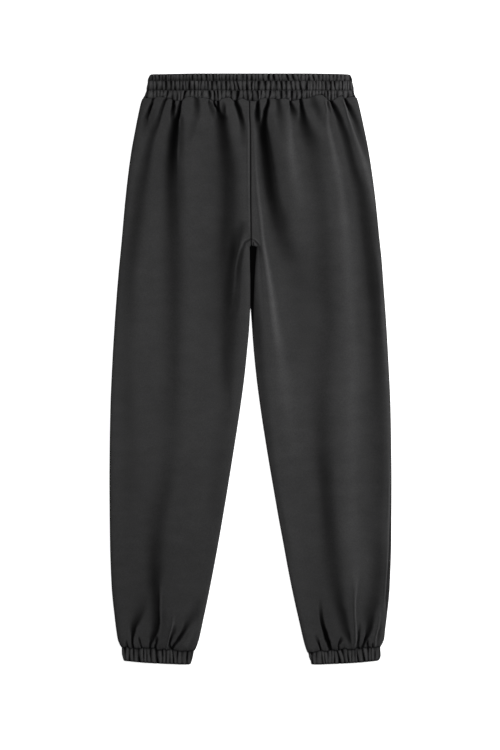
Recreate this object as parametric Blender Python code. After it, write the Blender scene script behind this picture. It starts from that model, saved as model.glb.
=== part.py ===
"""Jogger sweatpants with an elasticated waist and elasticated ankles, laid out flat.

The waist points along +Y, the front faces up and the wearer's right leg lies at -X. Each leg is
two walls of brushed fleece: a back panel flat on the ground and a front panel lying on it, whose
long edges turn towards each other and meet half way up. The waistband and the ankle cuffs are
flattened rings of doubled cloth over elastic.

Sizes are in millimetres. "Drop" is a distance down from the waist edge, and "across" runs from 0
at a leg's outer edge to 1 at its inner edge. Meshes are turned to metres as they are made.
"""

import math
from collections import namedtuple

import bmesh
import bpy

METRES = 0.001

# Driving sizes
LENGTH = 1020.0  # waist edge to the lowest point of the hems
CLOTH = 2.0  # wall of brushed fleece
SEAM_GAP = 0.3  # between two sewn pieces
BAND_WALL = 5.0  # doubled cloth over wide elastic
CUFF_WALL = 4.0  # doubled cloth over narrow elastic
PANEL_CLEARANCE = 0.4  # between a front and the back that it lies on
PILE = 2 * CLOTH + PANEL_CLEARANCE  # two panels pressed together
OUTER_ROLL = 9.0  # how far in from the outseam the cloth turns over
INNER_ROLL = 7.0  # the same at the inseam

# How finely the cloth is divided
ROLL_STEPS = 3
FRONT_COLUMNS = 22
BACK_COLUMNS = 4
RING_END_STEPS = 4
BAND_TOP_COLUMNS = 72
CUFF_TOP_COLUMNS = 24
RING_UNDER_COLUMNS = 12

# How deep the gathers along the bands are, and how unevenly
BAND_GATHER = 1.3
CUFF_GATHER = 1.1
UNEVENNESS = 0.35

CREASE_ANGLE = math.radians(50)  # edges sharper than this are shaded sharp

FLEECE_COLOUR = (0.030, 0.030, 0.031, 1.0)
RIB_COLOUR = (0.026, 0.026, 0.027, 1.0)
FLEECE_ROUGHNESS = 0.92

# One row for each section of a leg, from the waist seam to the cuff seam.
# drop_outer and drop_inner: where the section meets the outer and the inner edge
# outer and inner: distance of the edges from the centre line
# parting: how far the left front stands off the centre line, below the front rise
# front_turn and back_turn: 0 where inner edges butt at the rise seam, 1 where they turn to the inseam
# loft: how far the front's crown stands above two pressed panels
LegRow = namedtuple("LegRow", "drop_outer drop_inner outer inner parting front_turn back_turn loft")
LEG_ROWS = [
    LegRow(42.7, 48.8, 185.6, 0.0, 0.0, 0, 0, 7.4),
    LegRow(51.0, 57.0, 188.4, 0.0, 0.0, 0, 0, 8.2),
    LegRow(62.0, 66.0, 191.1, 0.0, 0.0, 0, 0, 8.0),
    LegRow(79.0, 82.0, 194.9, 0.0, 0.0, 0, 0, 7.4),
    LegRow(101.0, 102.0, 199.2, 0.0, 0.0, 0, 0, 6.6),
    LegRow(132.0, 132.0, 204.8, 0.0, 0.0, 0, 0, 5.6),
    LegRow(175.0, 175.0, 210.8, 0.0, 0.0, 0, 0, 4.6),
    LegRow(227.0, 227.0, 216.3, 0.0, 0.0, 0, 0, 3.8),
    LegRow(287.0, 287.0, 221.9, 0.0, 0.0, 0, 0, 3.4),
    LegRow(298.0, 298.0, 223.0, 0.0, 11.2, 1, 0, 3.4),
    LegRow(326.0, 326.0, 225.7, 0.0, 9.2, 1, 0, 3.3),
    LegRow(365.0, 365.0, 229.0, 0.0, 5.7, 1, 0, 3.2),
    LegRow(401.0, 401.0, 231.6, 0.0, 2.6, 1, 0, 3.1),
    LegRow(443.0, 443.0, 234.7, 3.1, 0.0, 1, 1, 3.0),
    LegRow(512.0, 512.0, 238.6, 10.2, 0.0, 1, 1, 2.8),
    LegRow(599.0, 599.0, 241.9, 21.9, 0.0, 1, 1, 2.8),
    LegRow(702.0, 702.0, 242.8, 38.2, 0.0, 1, 1, 3.0),
    LegRow(806.0, 806.0, 241.9, 55.8, 0.0, 1, 1, 3.8),
    LegRow(892.0, 892.0, 238.5, 71.5, 0.0, 1, 1, 4.8),
    LegRow(943.0, 945.0, 233.1, 83.8, 0.0, 1, 1, 5.6),
    LegRow(973.0, 977.0, 228.4, 90.2, 0.0, 1, 1, 5.6),
    LegRow(991.4, 996.2, 222.4, 97.2, 0.0, 1, 1, 4.6),
]

# One row for each large fold: it starts at a gathered seam and fades out along the leg.
# start and finish: its place across the leg at the seam and where it ends
# reach: its length, half_width: half its breadth at the seam, depth: share of the loft it takes away
Fold = namedtuple("Fold", "leg seam start finish reach half_width depth")
FOLDS = [
    Fold("right", "waist", 0.11, 0.09, 50, 9, 0.6),
    Fold("right", "waist", 0.22, 0.15, 95, 9, 0.5),
    Fold("right", "waist", 0.33, 0.44, 440, 12, 1.0),
    Fold("right", "waist", 0.67, 0.81, 190, 10, 0.7),
    Fold("right", "waist", 0.86, 0.94, 70, 9, 0.7),
    Fold("right", "ankle", 0.17, 0.34, 75, 8, 0.7),
    Fold("right", "ankle", 0.44, 0.50, 300, 10, 0.7),
    Fold("right", "ankle", 0.72, 0.88, 70, 8, 0.8),
    Fold("left", "waist", 0.10, 0.05, 70, 9, 0.7),
    Fold("left", "waist", 0.25, 0.17, 115, 9, 0.7),
    Fold("left", "waist", 0.53, 0.45, 150, 10, 0.7),
    Fold("left", "waist", 0.83, 0.80, 210, 11, 1.0),
    Fold("left", "ankle", 0.21, 0.14, 45, 8, 0.6),
    Fold("left", "ankle", 0.40, 0.56, 300, 10, 0.7),
    Fold("left", "ankle", 0.64, 0.73, 75, 8, 1.0),
]

# One row for each section of the waistband, from its folded top edge to the waist seam.
# drop_side and drop_middle: where the section lies at the side and at the centre
# inset: how far the outer surface draws in, which rounds the folded edge
BandRow = namedtuple("BandRow", "drop_side drop_middle half_width thickness inset")
BAND_ROWS = [
    BandRow(2.2, 0.0, 174.6, 12.8, 2.0),
    BandRow(3.8, 1.6, 175.4, 13.2, 0.4),
    BandRow(7.4, 5.8, 176.3, 13.6, 0.0),
    BandRow(11.8, 11.2, 176.6, 10.8, 0.0),
    BandRow(19.6, 19.4, 178.9, 13.8, 0.0),
    BandRow(27.4, 27.6, 179.6, 11.0, 0.0),
    BandRow(34.6, 37.0, 181.8, 13.6, 0.0),
    BandRow(42.3, 48.4, 185.6, 12.4, 0.0),
]

# One row for each section of a cuff, from the cuff seam to the hem.
CuffRow = namedtuple("CuffRow", "drop_outer drop_inner outer inner thickness inset")
CUFF_ROWS = [
    CuffRow(992.0, 996.8, 222.2, 97.4, 9.8, 0.0),
    CuffRow(999.5, 1004.5, 221.8, 98.9, 11.4, 0.0),
    CuffRow(1008.0, 1013.5, 220.6, 100.8, 11.0, 0.0),
    CuffRow(1014.3, 1020.0, 217.4, 103.2, 9.8, 1.6),
]

SIDE = {"right": -1, "left": 1}  # the wearer's right leg lies at -X


def lerp(a, b, share):
    return a + (b - a) * share


def bow(across):
    """A section's way from its outer to its inner drop: steep at the outer edge, level at the inner."""
    return across * (2 - across)


def bell(distance, half_width):
    """1 at the middle of a fold, 0 at its sides."""
    if abs(distance) >= half_width:
        return 0.0
    return 0.5 + 0.5 * math.cos(math.pi * distance / half_width)


def crown(leg, row, across, drop, width):
    """Height of the front's outer surface: two pressed panels and the loft that the folds leave."""
    left = 1.0
    for fold in FOLDS:
        if fold.leg != leg:
            continue
        seam_row = LEG_ROWS[0] if fold.seam == "waist" else LEG_ROWS[-1]
        seam_drop = lerp(seam_row.drop_outer, seam_row.drop_inner, bow(across))
        along = abs(drop - seam_drop) / fold.reach
        if along < 1:
            middle = lerp(fold.start, fold.finish, along)
            left *= 1 - fold.depth * (1 - along) * bell((across - middle) * width, fold.half_width)
    return PILE + row.loft * left


def turned_edge(roll, turn, inset):
    """Points over a panel's edge, from the seam to the crown, as (distance in, share of the rise).

    At turn 1 they follow a quarter ellipse; at turn 0 they lie level, up to a butted seam.
    """
    points = []
    for step in range(ROLL_STEPS + 1):
        angle = math.pi / 2 * step / ROLL_STEPS
        rolled = inset + (roll - inset) * (1 - math.cos(angle))
        level = roll * step / ROLL_STEPS
        points.append((lerp(level, rolled, turn), lerp(1.0, math.sin(angle), turn)))
    return points


def panel_section(leg, row, face, inset):
    """One section across a front or back panel. inset 0 is its outer surface, CLOTH its inner one."""
    front = face == "front"
    inner = max(row.inner, row.parting if front and leg == "left" else 0.0, SEAM_GAP / 2)
    width = row.outer - inner
    turn = row.front_turn if front else row.back_turn
    seam_height = (PILE + row.loft) / 2
    if front:
        outer_seam = seam_height + SEAM_GAP / 2
        inner_seam = lerp(CLOTH + SEAM_GAP, outer_seam, row.back_turn)
    else:
        outer_seam = inner_seam = seam_height - SEAM_GAP / 2
    outer_edge = turned_edge(OUTER_ROLL, 1, inset)
    inner_edge = turned_edge(INNER_ROLL, turn, inset)

    columns = FRONT_COLUMNS if front else BACK_COLUMNS
    flat_start = OUTER_ROLL / width
    flat_end = 1 - INNER_ROLL / width
    places = [(distance / width, share, outer_seam) for distance, share in outer_edge]
    for column in range(1, columns):
        places.append((lerp(flat_start, flat_end, column / columns), 1.0, 0.0))
    places += [(1 - distance / width, share, inner_seam) for distance, share in reversed(inner_edge)]

    section = []
    for across, share, seam in places:
        drop = lerp(row.drop_outer, row.drop_inner, bow(across))
        level = crown(leg, row, across, drop, width) - inset if front else inset
        x = SIDE[leg] * (row.outer - across * width)
        section.append((x, LENGTH / 2 - drop, lerp(seam, level, share)))
    return section


def ring_section(ends, drop_at, thickness, inset, top_columns, gather):
    """A flattened loop between two ends: over the top, round the far end, back along the ground.

    ends are the distances of its two ends along X, and drop_at gives the drop at a share of the way.
    """
    start, end = ends
    start, end = start + math.copysign(inset, end - start), end - math.copysign(inset, end - start)
    width = abs(end - start)
    radius = thickness / 2 - inset
    middle = thickness / 2
    places = []
    for column in range(top_columns + 1):
        # every second column lies in a gather's valley, each of its own depth
        valley = gather * (1 - UNEVENNESS * math.sin(column * column)) * (column % 2)
        share = lerp(radius, width - radius, column / top_columns) / width
        places.append((share, middle + radius - valley))
    for step in range(1, RING_END_STEPS):
        angle = math.pi * step / RING_END_STEPS
        places.append((1 - radius * (1 - math.sin(angle)) / width, middle + radius * math.cos(angle)))
    for column in range(RING_UNDER_COLUMNS + 1):
        share = lerp(width - radius, radius, column / RING_UNDER_COLUMNS) / width
        places.append((share, middle - radius))
    for step in range(1, RING_END_STEPS):
        angle = math.pi * step / RING_END_STEPS
        places.append((radius * (1 - math.sin(angle)) / width, middle - radius * math.cos(angle)))
    return [(lerp(start, end, s), LENGTH / 2 - drop_at(s), z) for s, z in places]


def wall_mesh(name, outer, inner, closed):
    """A closed wall between two grids of sections. closed joins each section's end to its start."""
    bm = bmesh.new()
    skins = []
    for grid in (outer, inner):
        skins.append([[bm.verts.new([METRES * value for value in point]) for point in row] for row in grid])
    rows, columns = len(outer), len(outer[0])
    steps = columns if closed else columns - 1
    for skin in skins:
        for r in range(rows - 1):
            for c in range(steps):
                n = (c + 1) % columns
                bm.faces.new((skin[r][c], skin[r][n], skin[r + 1][n], skin[r + 1][c]))
    for r in (0, rows - 1):
        for c in range(steps):
            n = (c + 1) % columns
            bm.faces.new((skins[0][r][c], skins[0][r][n], skins[1][r][n], skins[1][r][c]))
    if not closed:
        for c in (0, columns - 1):
            for r in range(rows - 1):
                bm.faces.new((skins[0][r][c], skins[0][r + 1][c], skins[1][r + 1][c], skins[1][r][c]))
    bmesh.ops.recalc_face_normals(bm, faces=bm.faces)
    mesh = bpy.data.meshes.new(name)
    bm.to_mesh(mesh)
    bm.free()
    return mesh


def cloth_material(name, colour):
    material = bpy.data.materials.new(name)
    material.use_nodes = True
    shader = material.node_tree.nodes["Principled BSDF"]
    shader.inputs["Base Color"].default_value = colour
    shader.inputs["Roughness"].default_value = FLEECE_ROUGHNESS
    shader.inputs["Metallic"].default_value = 0.0
    return material


def add_piece(name, mesh, colour):
    mesh.materials.append(cloth_material(name, colour))
    mesh.shade_smooth()
    mesh.set_sharp_from_angle(angle=CREASE_ANGLE)
    piece = bpy.data.objects.new(name, mesh)
    bpy.context.scene.collection.objects.link(piece)


def make_panel(leg, face):
    name = f"{face}_{leg}"
    outer = [panel_section(leg, row, face, 0.0) for row in LEG_ROWS]
    inner = [panel_section(leg, row, face, CLOTH) for row in LEG_ROWS]
    add_piece(name, wall_mesh(name, outer, inner, closed=False), FLEECE_COLOUR)


def make_waistband():
    def section(row, inset, gather):
        def drop_at(share):
            return lerp(row.drop_side, row.drop_middle, 4 * share * (1 - share))

        ends = (-row.half_width, row.half_width)
        return ring_section(ends, drop_at, row.thickness, inset, BAND_TOP_COLUMNS, gather)

    outer = [section(row, row.inset, BAND_GATHER) for row in BAND_ROWS]
    inner = [section(row, BAND_WALL, 0.0) for row in BAND_ROWS]
    add_piece("waistband", wall_mesh("waistband", outer, inner, closed=True), RIB_COLOUR)


def make_cuff(leg):
    def section(row, inset, gather):
        def drop_at(share):
            return lerp(row.drop_outer, row.drop_inner, bow(share))

        ends = (SIDE[leg] * row.outer, SIDE[leg] * row.inner)
        return ring_section(ends, drop_at, row.thickness, inset, CUFF_TOP_COLUMNS, gather)

    name = f"cuff_{leg}"
    outer = [section(row, row.inset, CUFF_GATHER) for row in CUFF_ROWS]
    inner = [section(row, CUFF_WALL, 0.0) for row in CUFF_ROWS]
    add_piece(name, wall_mesh(name, outer, inner, closed=True), RIB_COLOUR)


def main():
    for old in list(bpy.data.objects):
        bpy.data.objects.remove(old)
    for leg in SIDE:
        make_panel(leg, "back")
        make_panel(leg, "front")
        make_cuff(leg)
    make_waistband()


main()
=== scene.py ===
import math

import bmesh
import bpy
import numpy as np
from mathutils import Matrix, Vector


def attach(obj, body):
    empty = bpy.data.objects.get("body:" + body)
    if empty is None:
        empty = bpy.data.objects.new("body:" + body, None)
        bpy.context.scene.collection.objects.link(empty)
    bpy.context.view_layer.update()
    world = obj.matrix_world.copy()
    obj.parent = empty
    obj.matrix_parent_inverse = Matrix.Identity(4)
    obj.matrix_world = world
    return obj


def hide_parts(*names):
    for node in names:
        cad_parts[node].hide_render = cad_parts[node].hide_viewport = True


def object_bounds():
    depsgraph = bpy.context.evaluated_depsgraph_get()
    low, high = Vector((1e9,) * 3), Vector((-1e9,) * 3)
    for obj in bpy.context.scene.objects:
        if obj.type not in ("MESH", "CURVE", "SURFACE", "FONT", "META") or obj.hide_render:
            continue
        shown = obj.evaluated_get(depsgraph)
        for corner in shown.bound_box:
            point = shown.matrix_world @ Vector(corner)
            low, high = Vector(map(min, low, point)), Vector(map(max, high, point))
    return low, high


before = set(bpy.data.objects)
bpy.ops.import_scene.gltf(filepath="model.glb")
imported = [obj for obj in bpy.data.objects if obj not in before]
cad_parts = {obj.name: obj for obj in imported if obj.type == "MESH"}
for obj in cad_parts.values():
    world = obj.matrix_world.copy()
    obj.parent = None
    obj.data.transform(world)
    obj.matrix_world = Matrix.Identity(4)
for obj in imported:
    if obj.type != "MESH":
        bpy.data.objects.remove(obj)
cadLow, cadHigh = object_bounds()

# Tables are in millimetres. "drop" is the way down from the waist edge, x is as in the frame,
# and the wearer's right leg lies at -x.
mm = 0.001
length = (cadHigh.y - cadLow.y) / mm
topEdge = cadHigh.y / mm
sides = {"right": -1, "left": 1}

fleece = dict(
    wall=2,  # brushed knit
    gap=0.3,  # between two sewn pieces
    clearance=0.4,  # between a front and the back that it lies on
    seamDrop=45,  # where the waist seam lies on average
    cuffDrop=993.5,  # the same for the cuff seams
    scallopFade=55,  # how far the scallops of a seam reach into the panel
    frontTurn=(293, 298),  # where the fronts' inner edges, flat along the rise, turn down to the inseam
    backTurn=(398, 438),  # the same for the backs, whose rise is longer
    # the centre seam, as (drop, x)
    centreSeam=[(45, -1.7), (66, -1.6), (90, -0.4), (115, 0), (220, 0.4), (250, 0.9), (275, 1.3)],
)
pile = 2 * fleece["wall"] + fleece["clearance"]


def through(points, at):
    # a smooth curve through (place, value) points that never swings past them
    xs, ys = np.array(points, float).T
    step = np.diff(xs)
    rise = np.diff(ys) / step
    slope = np.zeros(len(xs))
    slope[0], slope[-1] = rise[0], rise[-1]
    for i in range(1, len(xs) - 1):
        if rise[i - 1] * rise[i] > 0:
            slope[i] = 2 / (1 / rise[i - 1] + 1 / rise[i])
    at = np.clip(np.asarray(at, float), xs[0], xs[-1])
    i = np.clip(np.searchsorted(xs, at, side="right") - 1, 0, len(xs) - 2)
    h = step[i]
    t = (at - xs[i]) / h
    near = ys[i] * (1 + 2 * t) + slope[i] * h * t
    far = ys[i + 1] * (3 - 2 * t) + slope[i + 1] * h * (t - 1)
    return near * (1 - t) ** 2 + far * t ** 2


def lerp(a, b, share):
    return a + (b - a) * share


def ease(value):
    value = np.clip(value, 0, 1)
    return value * value * (3 - 2 * value)


def easeOver(value, span):
    # 0 before the span and 1 after it
    return ease((value - span[0]) / (span[1] - span[0]))


def bell(distance, reach):
    return np.exp(-(distance / reach) ** 2)


def softFloor(value):
    # bends to zero from above, so a deep fold bottoms out without an edge
    return np.where(value > 1, value, np.exp(np.minimum(value, 1) - 1))


def foldField(x, drop, folds):
    # how far the folds push the cloth down at each point, in mm
    total = np.zeros(x.shape)
    for fold in folds:
        rows = [list(fold[0])]
        for row in fold[1:]:
            rows.append(list(row) + rows[-1][len(row):])
        rows = np.array(rows, float)
        reach = np.concatenate([[0], np.cumsum(np.hypot(*np.diff(rows[:, :2], axis=0).T))])
        fine = np.linspace(0, reach[-1], 6 * (len(rows) - 1) + 1)
        curves = [through(np.column_stack([reach, column]), fine) for column in rows.T]
        px, pd, depth, onLeft, onRight = curves
        margin = 3.2 * max(onLeft.max(), onRight.max())  # a fold is gone at about three half widths
        near = (x > px.min() - margin) & (x < px.max() + margin)
        near &= (drop > pd.min() - margin) & (drop < pd.max() + margin)
        if not near.any():
            continue
        gx, gd = x[near][:, None], drop[near][:, None]
        dx, dd = np.diff(px), np.diff(pd)
        size = dx * dx + dd * dd
        t = np.clip(((gx - px[:-1]) * dx + (gd - pd[:-1]) * dd) / size, 0, 1)
        offX, offD = gx - (px[:-1] + t * dx), gd - (pd[:-1] + t * dd)
        away = offX ** 2 + offD ** 2
        k = away.argmin(axis=1)
        row = np.arange(len(k))
        t, away = t[row, k], away[row, k]
        toRight = dx[k] * offD[row, k] - dd[k] * offX[row, k] < 0
        width = np.where(toRight, lerp(onRight[k], onRight[k + 1], t), lerp(onLeft[k], onLeft[k + 1], t))
        steep = 2 + 1.6 * bell(width, 3)  # narrow folds have steeper flanks and flatter floors
        total[near] += lerp(depth[k], depth[k + 1], t) * np.exp(-0.5 * (np.sqrt(away) / width) ** steep)
    return total


legOutline = dict(
    outer={  # (drop, distance from the centre line)
        "right": [
            (45, 187), (52.7, 189.5), (59.6, 191.2), (80, 195.7), (98, 199.3), (132, 205.6), (167, 210.6),
            (219, 216.5), (288, 222.7), (357, 229.2), (426, 234.4), (495, 238.6), (573, 242), (651, 243.4),
            (702, 243.7), (806, 242.8), (884, 240), (910, 237.8), (936, 234.8), (962, 231.8), (979, 229.3),
            (987, 226.7), (993, 223.6),
        ],
        "left": [
            (45, 183.8), (52.7, 186.4), (59.6, 188.2), (80, 193.1), (98, 197.1), (132, 203.9), (167, 209.5),
            (219, 216.3), (288, 223.3), (320, 226.7), (357, 229.4), (426, 234.4), (495, 238.4), (573, 242),
            (651, 243.4), (702, 243.8), (806, 243.2), (884, 240.6), (910, 238.6), (936, 235.6),
            (962, 232.6), (979, 231), (987, 228.4), (993, 225.2),
        ],
    },
    inner={
        "right": [
            (398, 0.15), (404, 0.35), (412, 0.7), (426, 1.4), (440, 2.2), (469, 4.8), (521, 10.1),
            (573, 17), (651, 29), (728, 41.4), (806, 54.7), (884, 69.3), (936, 80.1), (979, 90.1),
            (989, 94), (996, 97.6),
        ],
        "left": [
            (398, 0.15), (404, 0.6), (412, 1.1), (426, 1.8), (469, 4.8), (521, 9.9), (573, 16.6),
            (651, 28.6), (728, 41.7), (772, 49.4), (806, 55.8), (854, 64.6), (884, 70.5), (936, 81.9),
            (979, 92.9), (989, 96.4), (996, 99.4),
        ],
    },
    loft=[  # height above two pressed panels
        (45, 9.4), (52, 10.6), (62, 10.4), (80, 9.4), (101, 8), (132, 6.5), (175, 5.2), (227, 4.2),
        (287, 3.7), (401, 3.3), (512, 3), (702, 3.2), (806, 4), (892, 5.4), (943, 6.8), (980, 7.2),
        (996, 6),
    ],
    outerRoll=[(45, 13), (110, 11), (250, 9), (800, 9), (930, 11), (996, 12)],
    innerRoll=[(45, 6), (272, 6), (296, 11), (330, 11), (420, 8), (900, 8), (996, 11)],
    frontInner={  # where the fronts' inner edges lie below the front rise, until they reach the inseam
        "right": [
            (283, 1.3), (296.3, 1), (298.8, -1.4), (313, -0.9), (335, -0.8), (352, -0.3), (399, -0.3),
            (404, -0.2),
        ],
        "left": [(283, 1.65), (296.3, 1.8), (298.8, 10.6), (313, 9.3), (348, 6.9), (396, 5.2), (447, 4.3)],
    },
)

seamLines = dict(
    waistFront=[  # (x, drop): the body puffs up against the band between its gathers
        (-187, 43.4), (-181.5, 42.3), (-173, 43.2), (-166, 44.1), (-162.5, 40.8), (-155.5, 39.9),
        (-147, 42.3), (-142, 43.2), (-135, 44.9), (-129.5, 46.6), (-121, 47), (-116, 44.9), (-110.5, 40.9),
        (-100, 40.8), (-91.5, 42.7), (-86.5, 41.8), (-76, 43.2), (-69, 45.4), (-64, 47.3), (-54, 47.3),
        (-50, 44.1), (-41.5, 41.7), (-35, 42.3), (-31, 46.1), (-22.5, 46.3), (-17, 43.2), (-10.5, 44.1),
        (-7, 46.5), (0, 47.4), (12, 48.3), (17, 44.3), (24, 42.5), (31, 44.1), (36.5, 43.4), (46.5, 44.6),
        (59, 43.2), (64, 44.9), (69, 47.3), (79.5, 45.8), (88, 43.3), (97, 43.2), (105.5, 39.9),
        (114, 37.6), (122.5, 37.2), (128, 40.8), (133, 45.2), (138, 47), (145, 44.9), (150.5, 40.9),
        (157, 39.1), (162.5, 43), (166, 42.3), (173, 39.9), (179.5, 40.6), (187, 42.7),
    ],
    waistBack=[
        (-187, 43.4), (-168, 41), (-150, 45.2), (-131, 41.8), (-112, 46.4), (-88, 42.2), (-66, 45.6),
        (-41, 42), (-20, 46.8), (0, 49), (17, 46.4), (39, 42.6), (61, 46), (84, 41.6), (103, 45.4),
        (127, 42.4), (149, 46.2), (170, 41.2), (187, 42.7),
    ],
    cuffFront={
        "right": [
            (-223, 989.8), (-212.5, 989.6), (-207.5, 991.7), (-202, 990.3), (-198.5, 991.9), (-190, 991.9),
            (-186.5, 990.5), (-173, 991.5), (-164, 991.2), (-160, 994.6), (-155.5, 994.8), (-150.5, 992.2),
            (-145, 995), (-140, 993), (-131, 994.6), (-121, 996.7), (-109, 996.2), (-97, 995.5),
        ],
        "left": [
            (97, 999), (109, 998.3), (121, 995.5), (129.5, 997), (140, 994.7), (148.5, 995.3),
            (155.5, 993.4), (162.5, 991.3), (169.5, 993.7), (178, 993.7), (183, 989.8), (187.5, 992.4),
            (192, 989.8), (198.5, 990.3), (207.5, 989.9), (216, 989.4), (223, 988.6),
        ],
    },
    cuffBack={
        "right": [
            (-223, 989.8), (-206, 993.4), (-189, 990.6), (-171, 995), (-152, 992.2), (-130, 996.8),
            (-112, 994.2), (-97, 995.5),
        ],
        "left": [
            (97, 999), (114, 994.6), (133, 997), (149, 992.6), (168, 995.2), (190, 990.4), (207, 992.8),
            (223, 988.6),
        ],
    },
)


def legLoft(drop):
    return through(legOutline["loft"], drop)


def innerEdge(leg, face, drop):
    # signed x of a panel's inner edge
    side = sides[leg]
    inseam = side * through(legOutline["inner"][leg], drop)
    seam = side * fleece["gap"] / 2
    if face == "back":
        return np.where(drop < fleece["backTurn"][0], seam, inseam)
    points = legOutline["frontInner"][leg]
    rise = through(fleece["centreSeam"], drop) + seam
    parted = np.where(drop < points[1][0], rise, through(points, drop))
    return np.where(drop > points[-1][0], inseam, parted)


def gatheredSeam(end, face, leg, x):
    # drop of the waist seam or of a cuff seam
    line = seamLines[end + face.title()]
    return through(line if end == "waist" else line[leg], x)


# A fold is a list of (x, drop, depth, half width on its -x side, half width on its +x side), given one by
# one.
# A width that a row leaves out carries on from the row before. A negative depth is a ridge.

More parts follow.
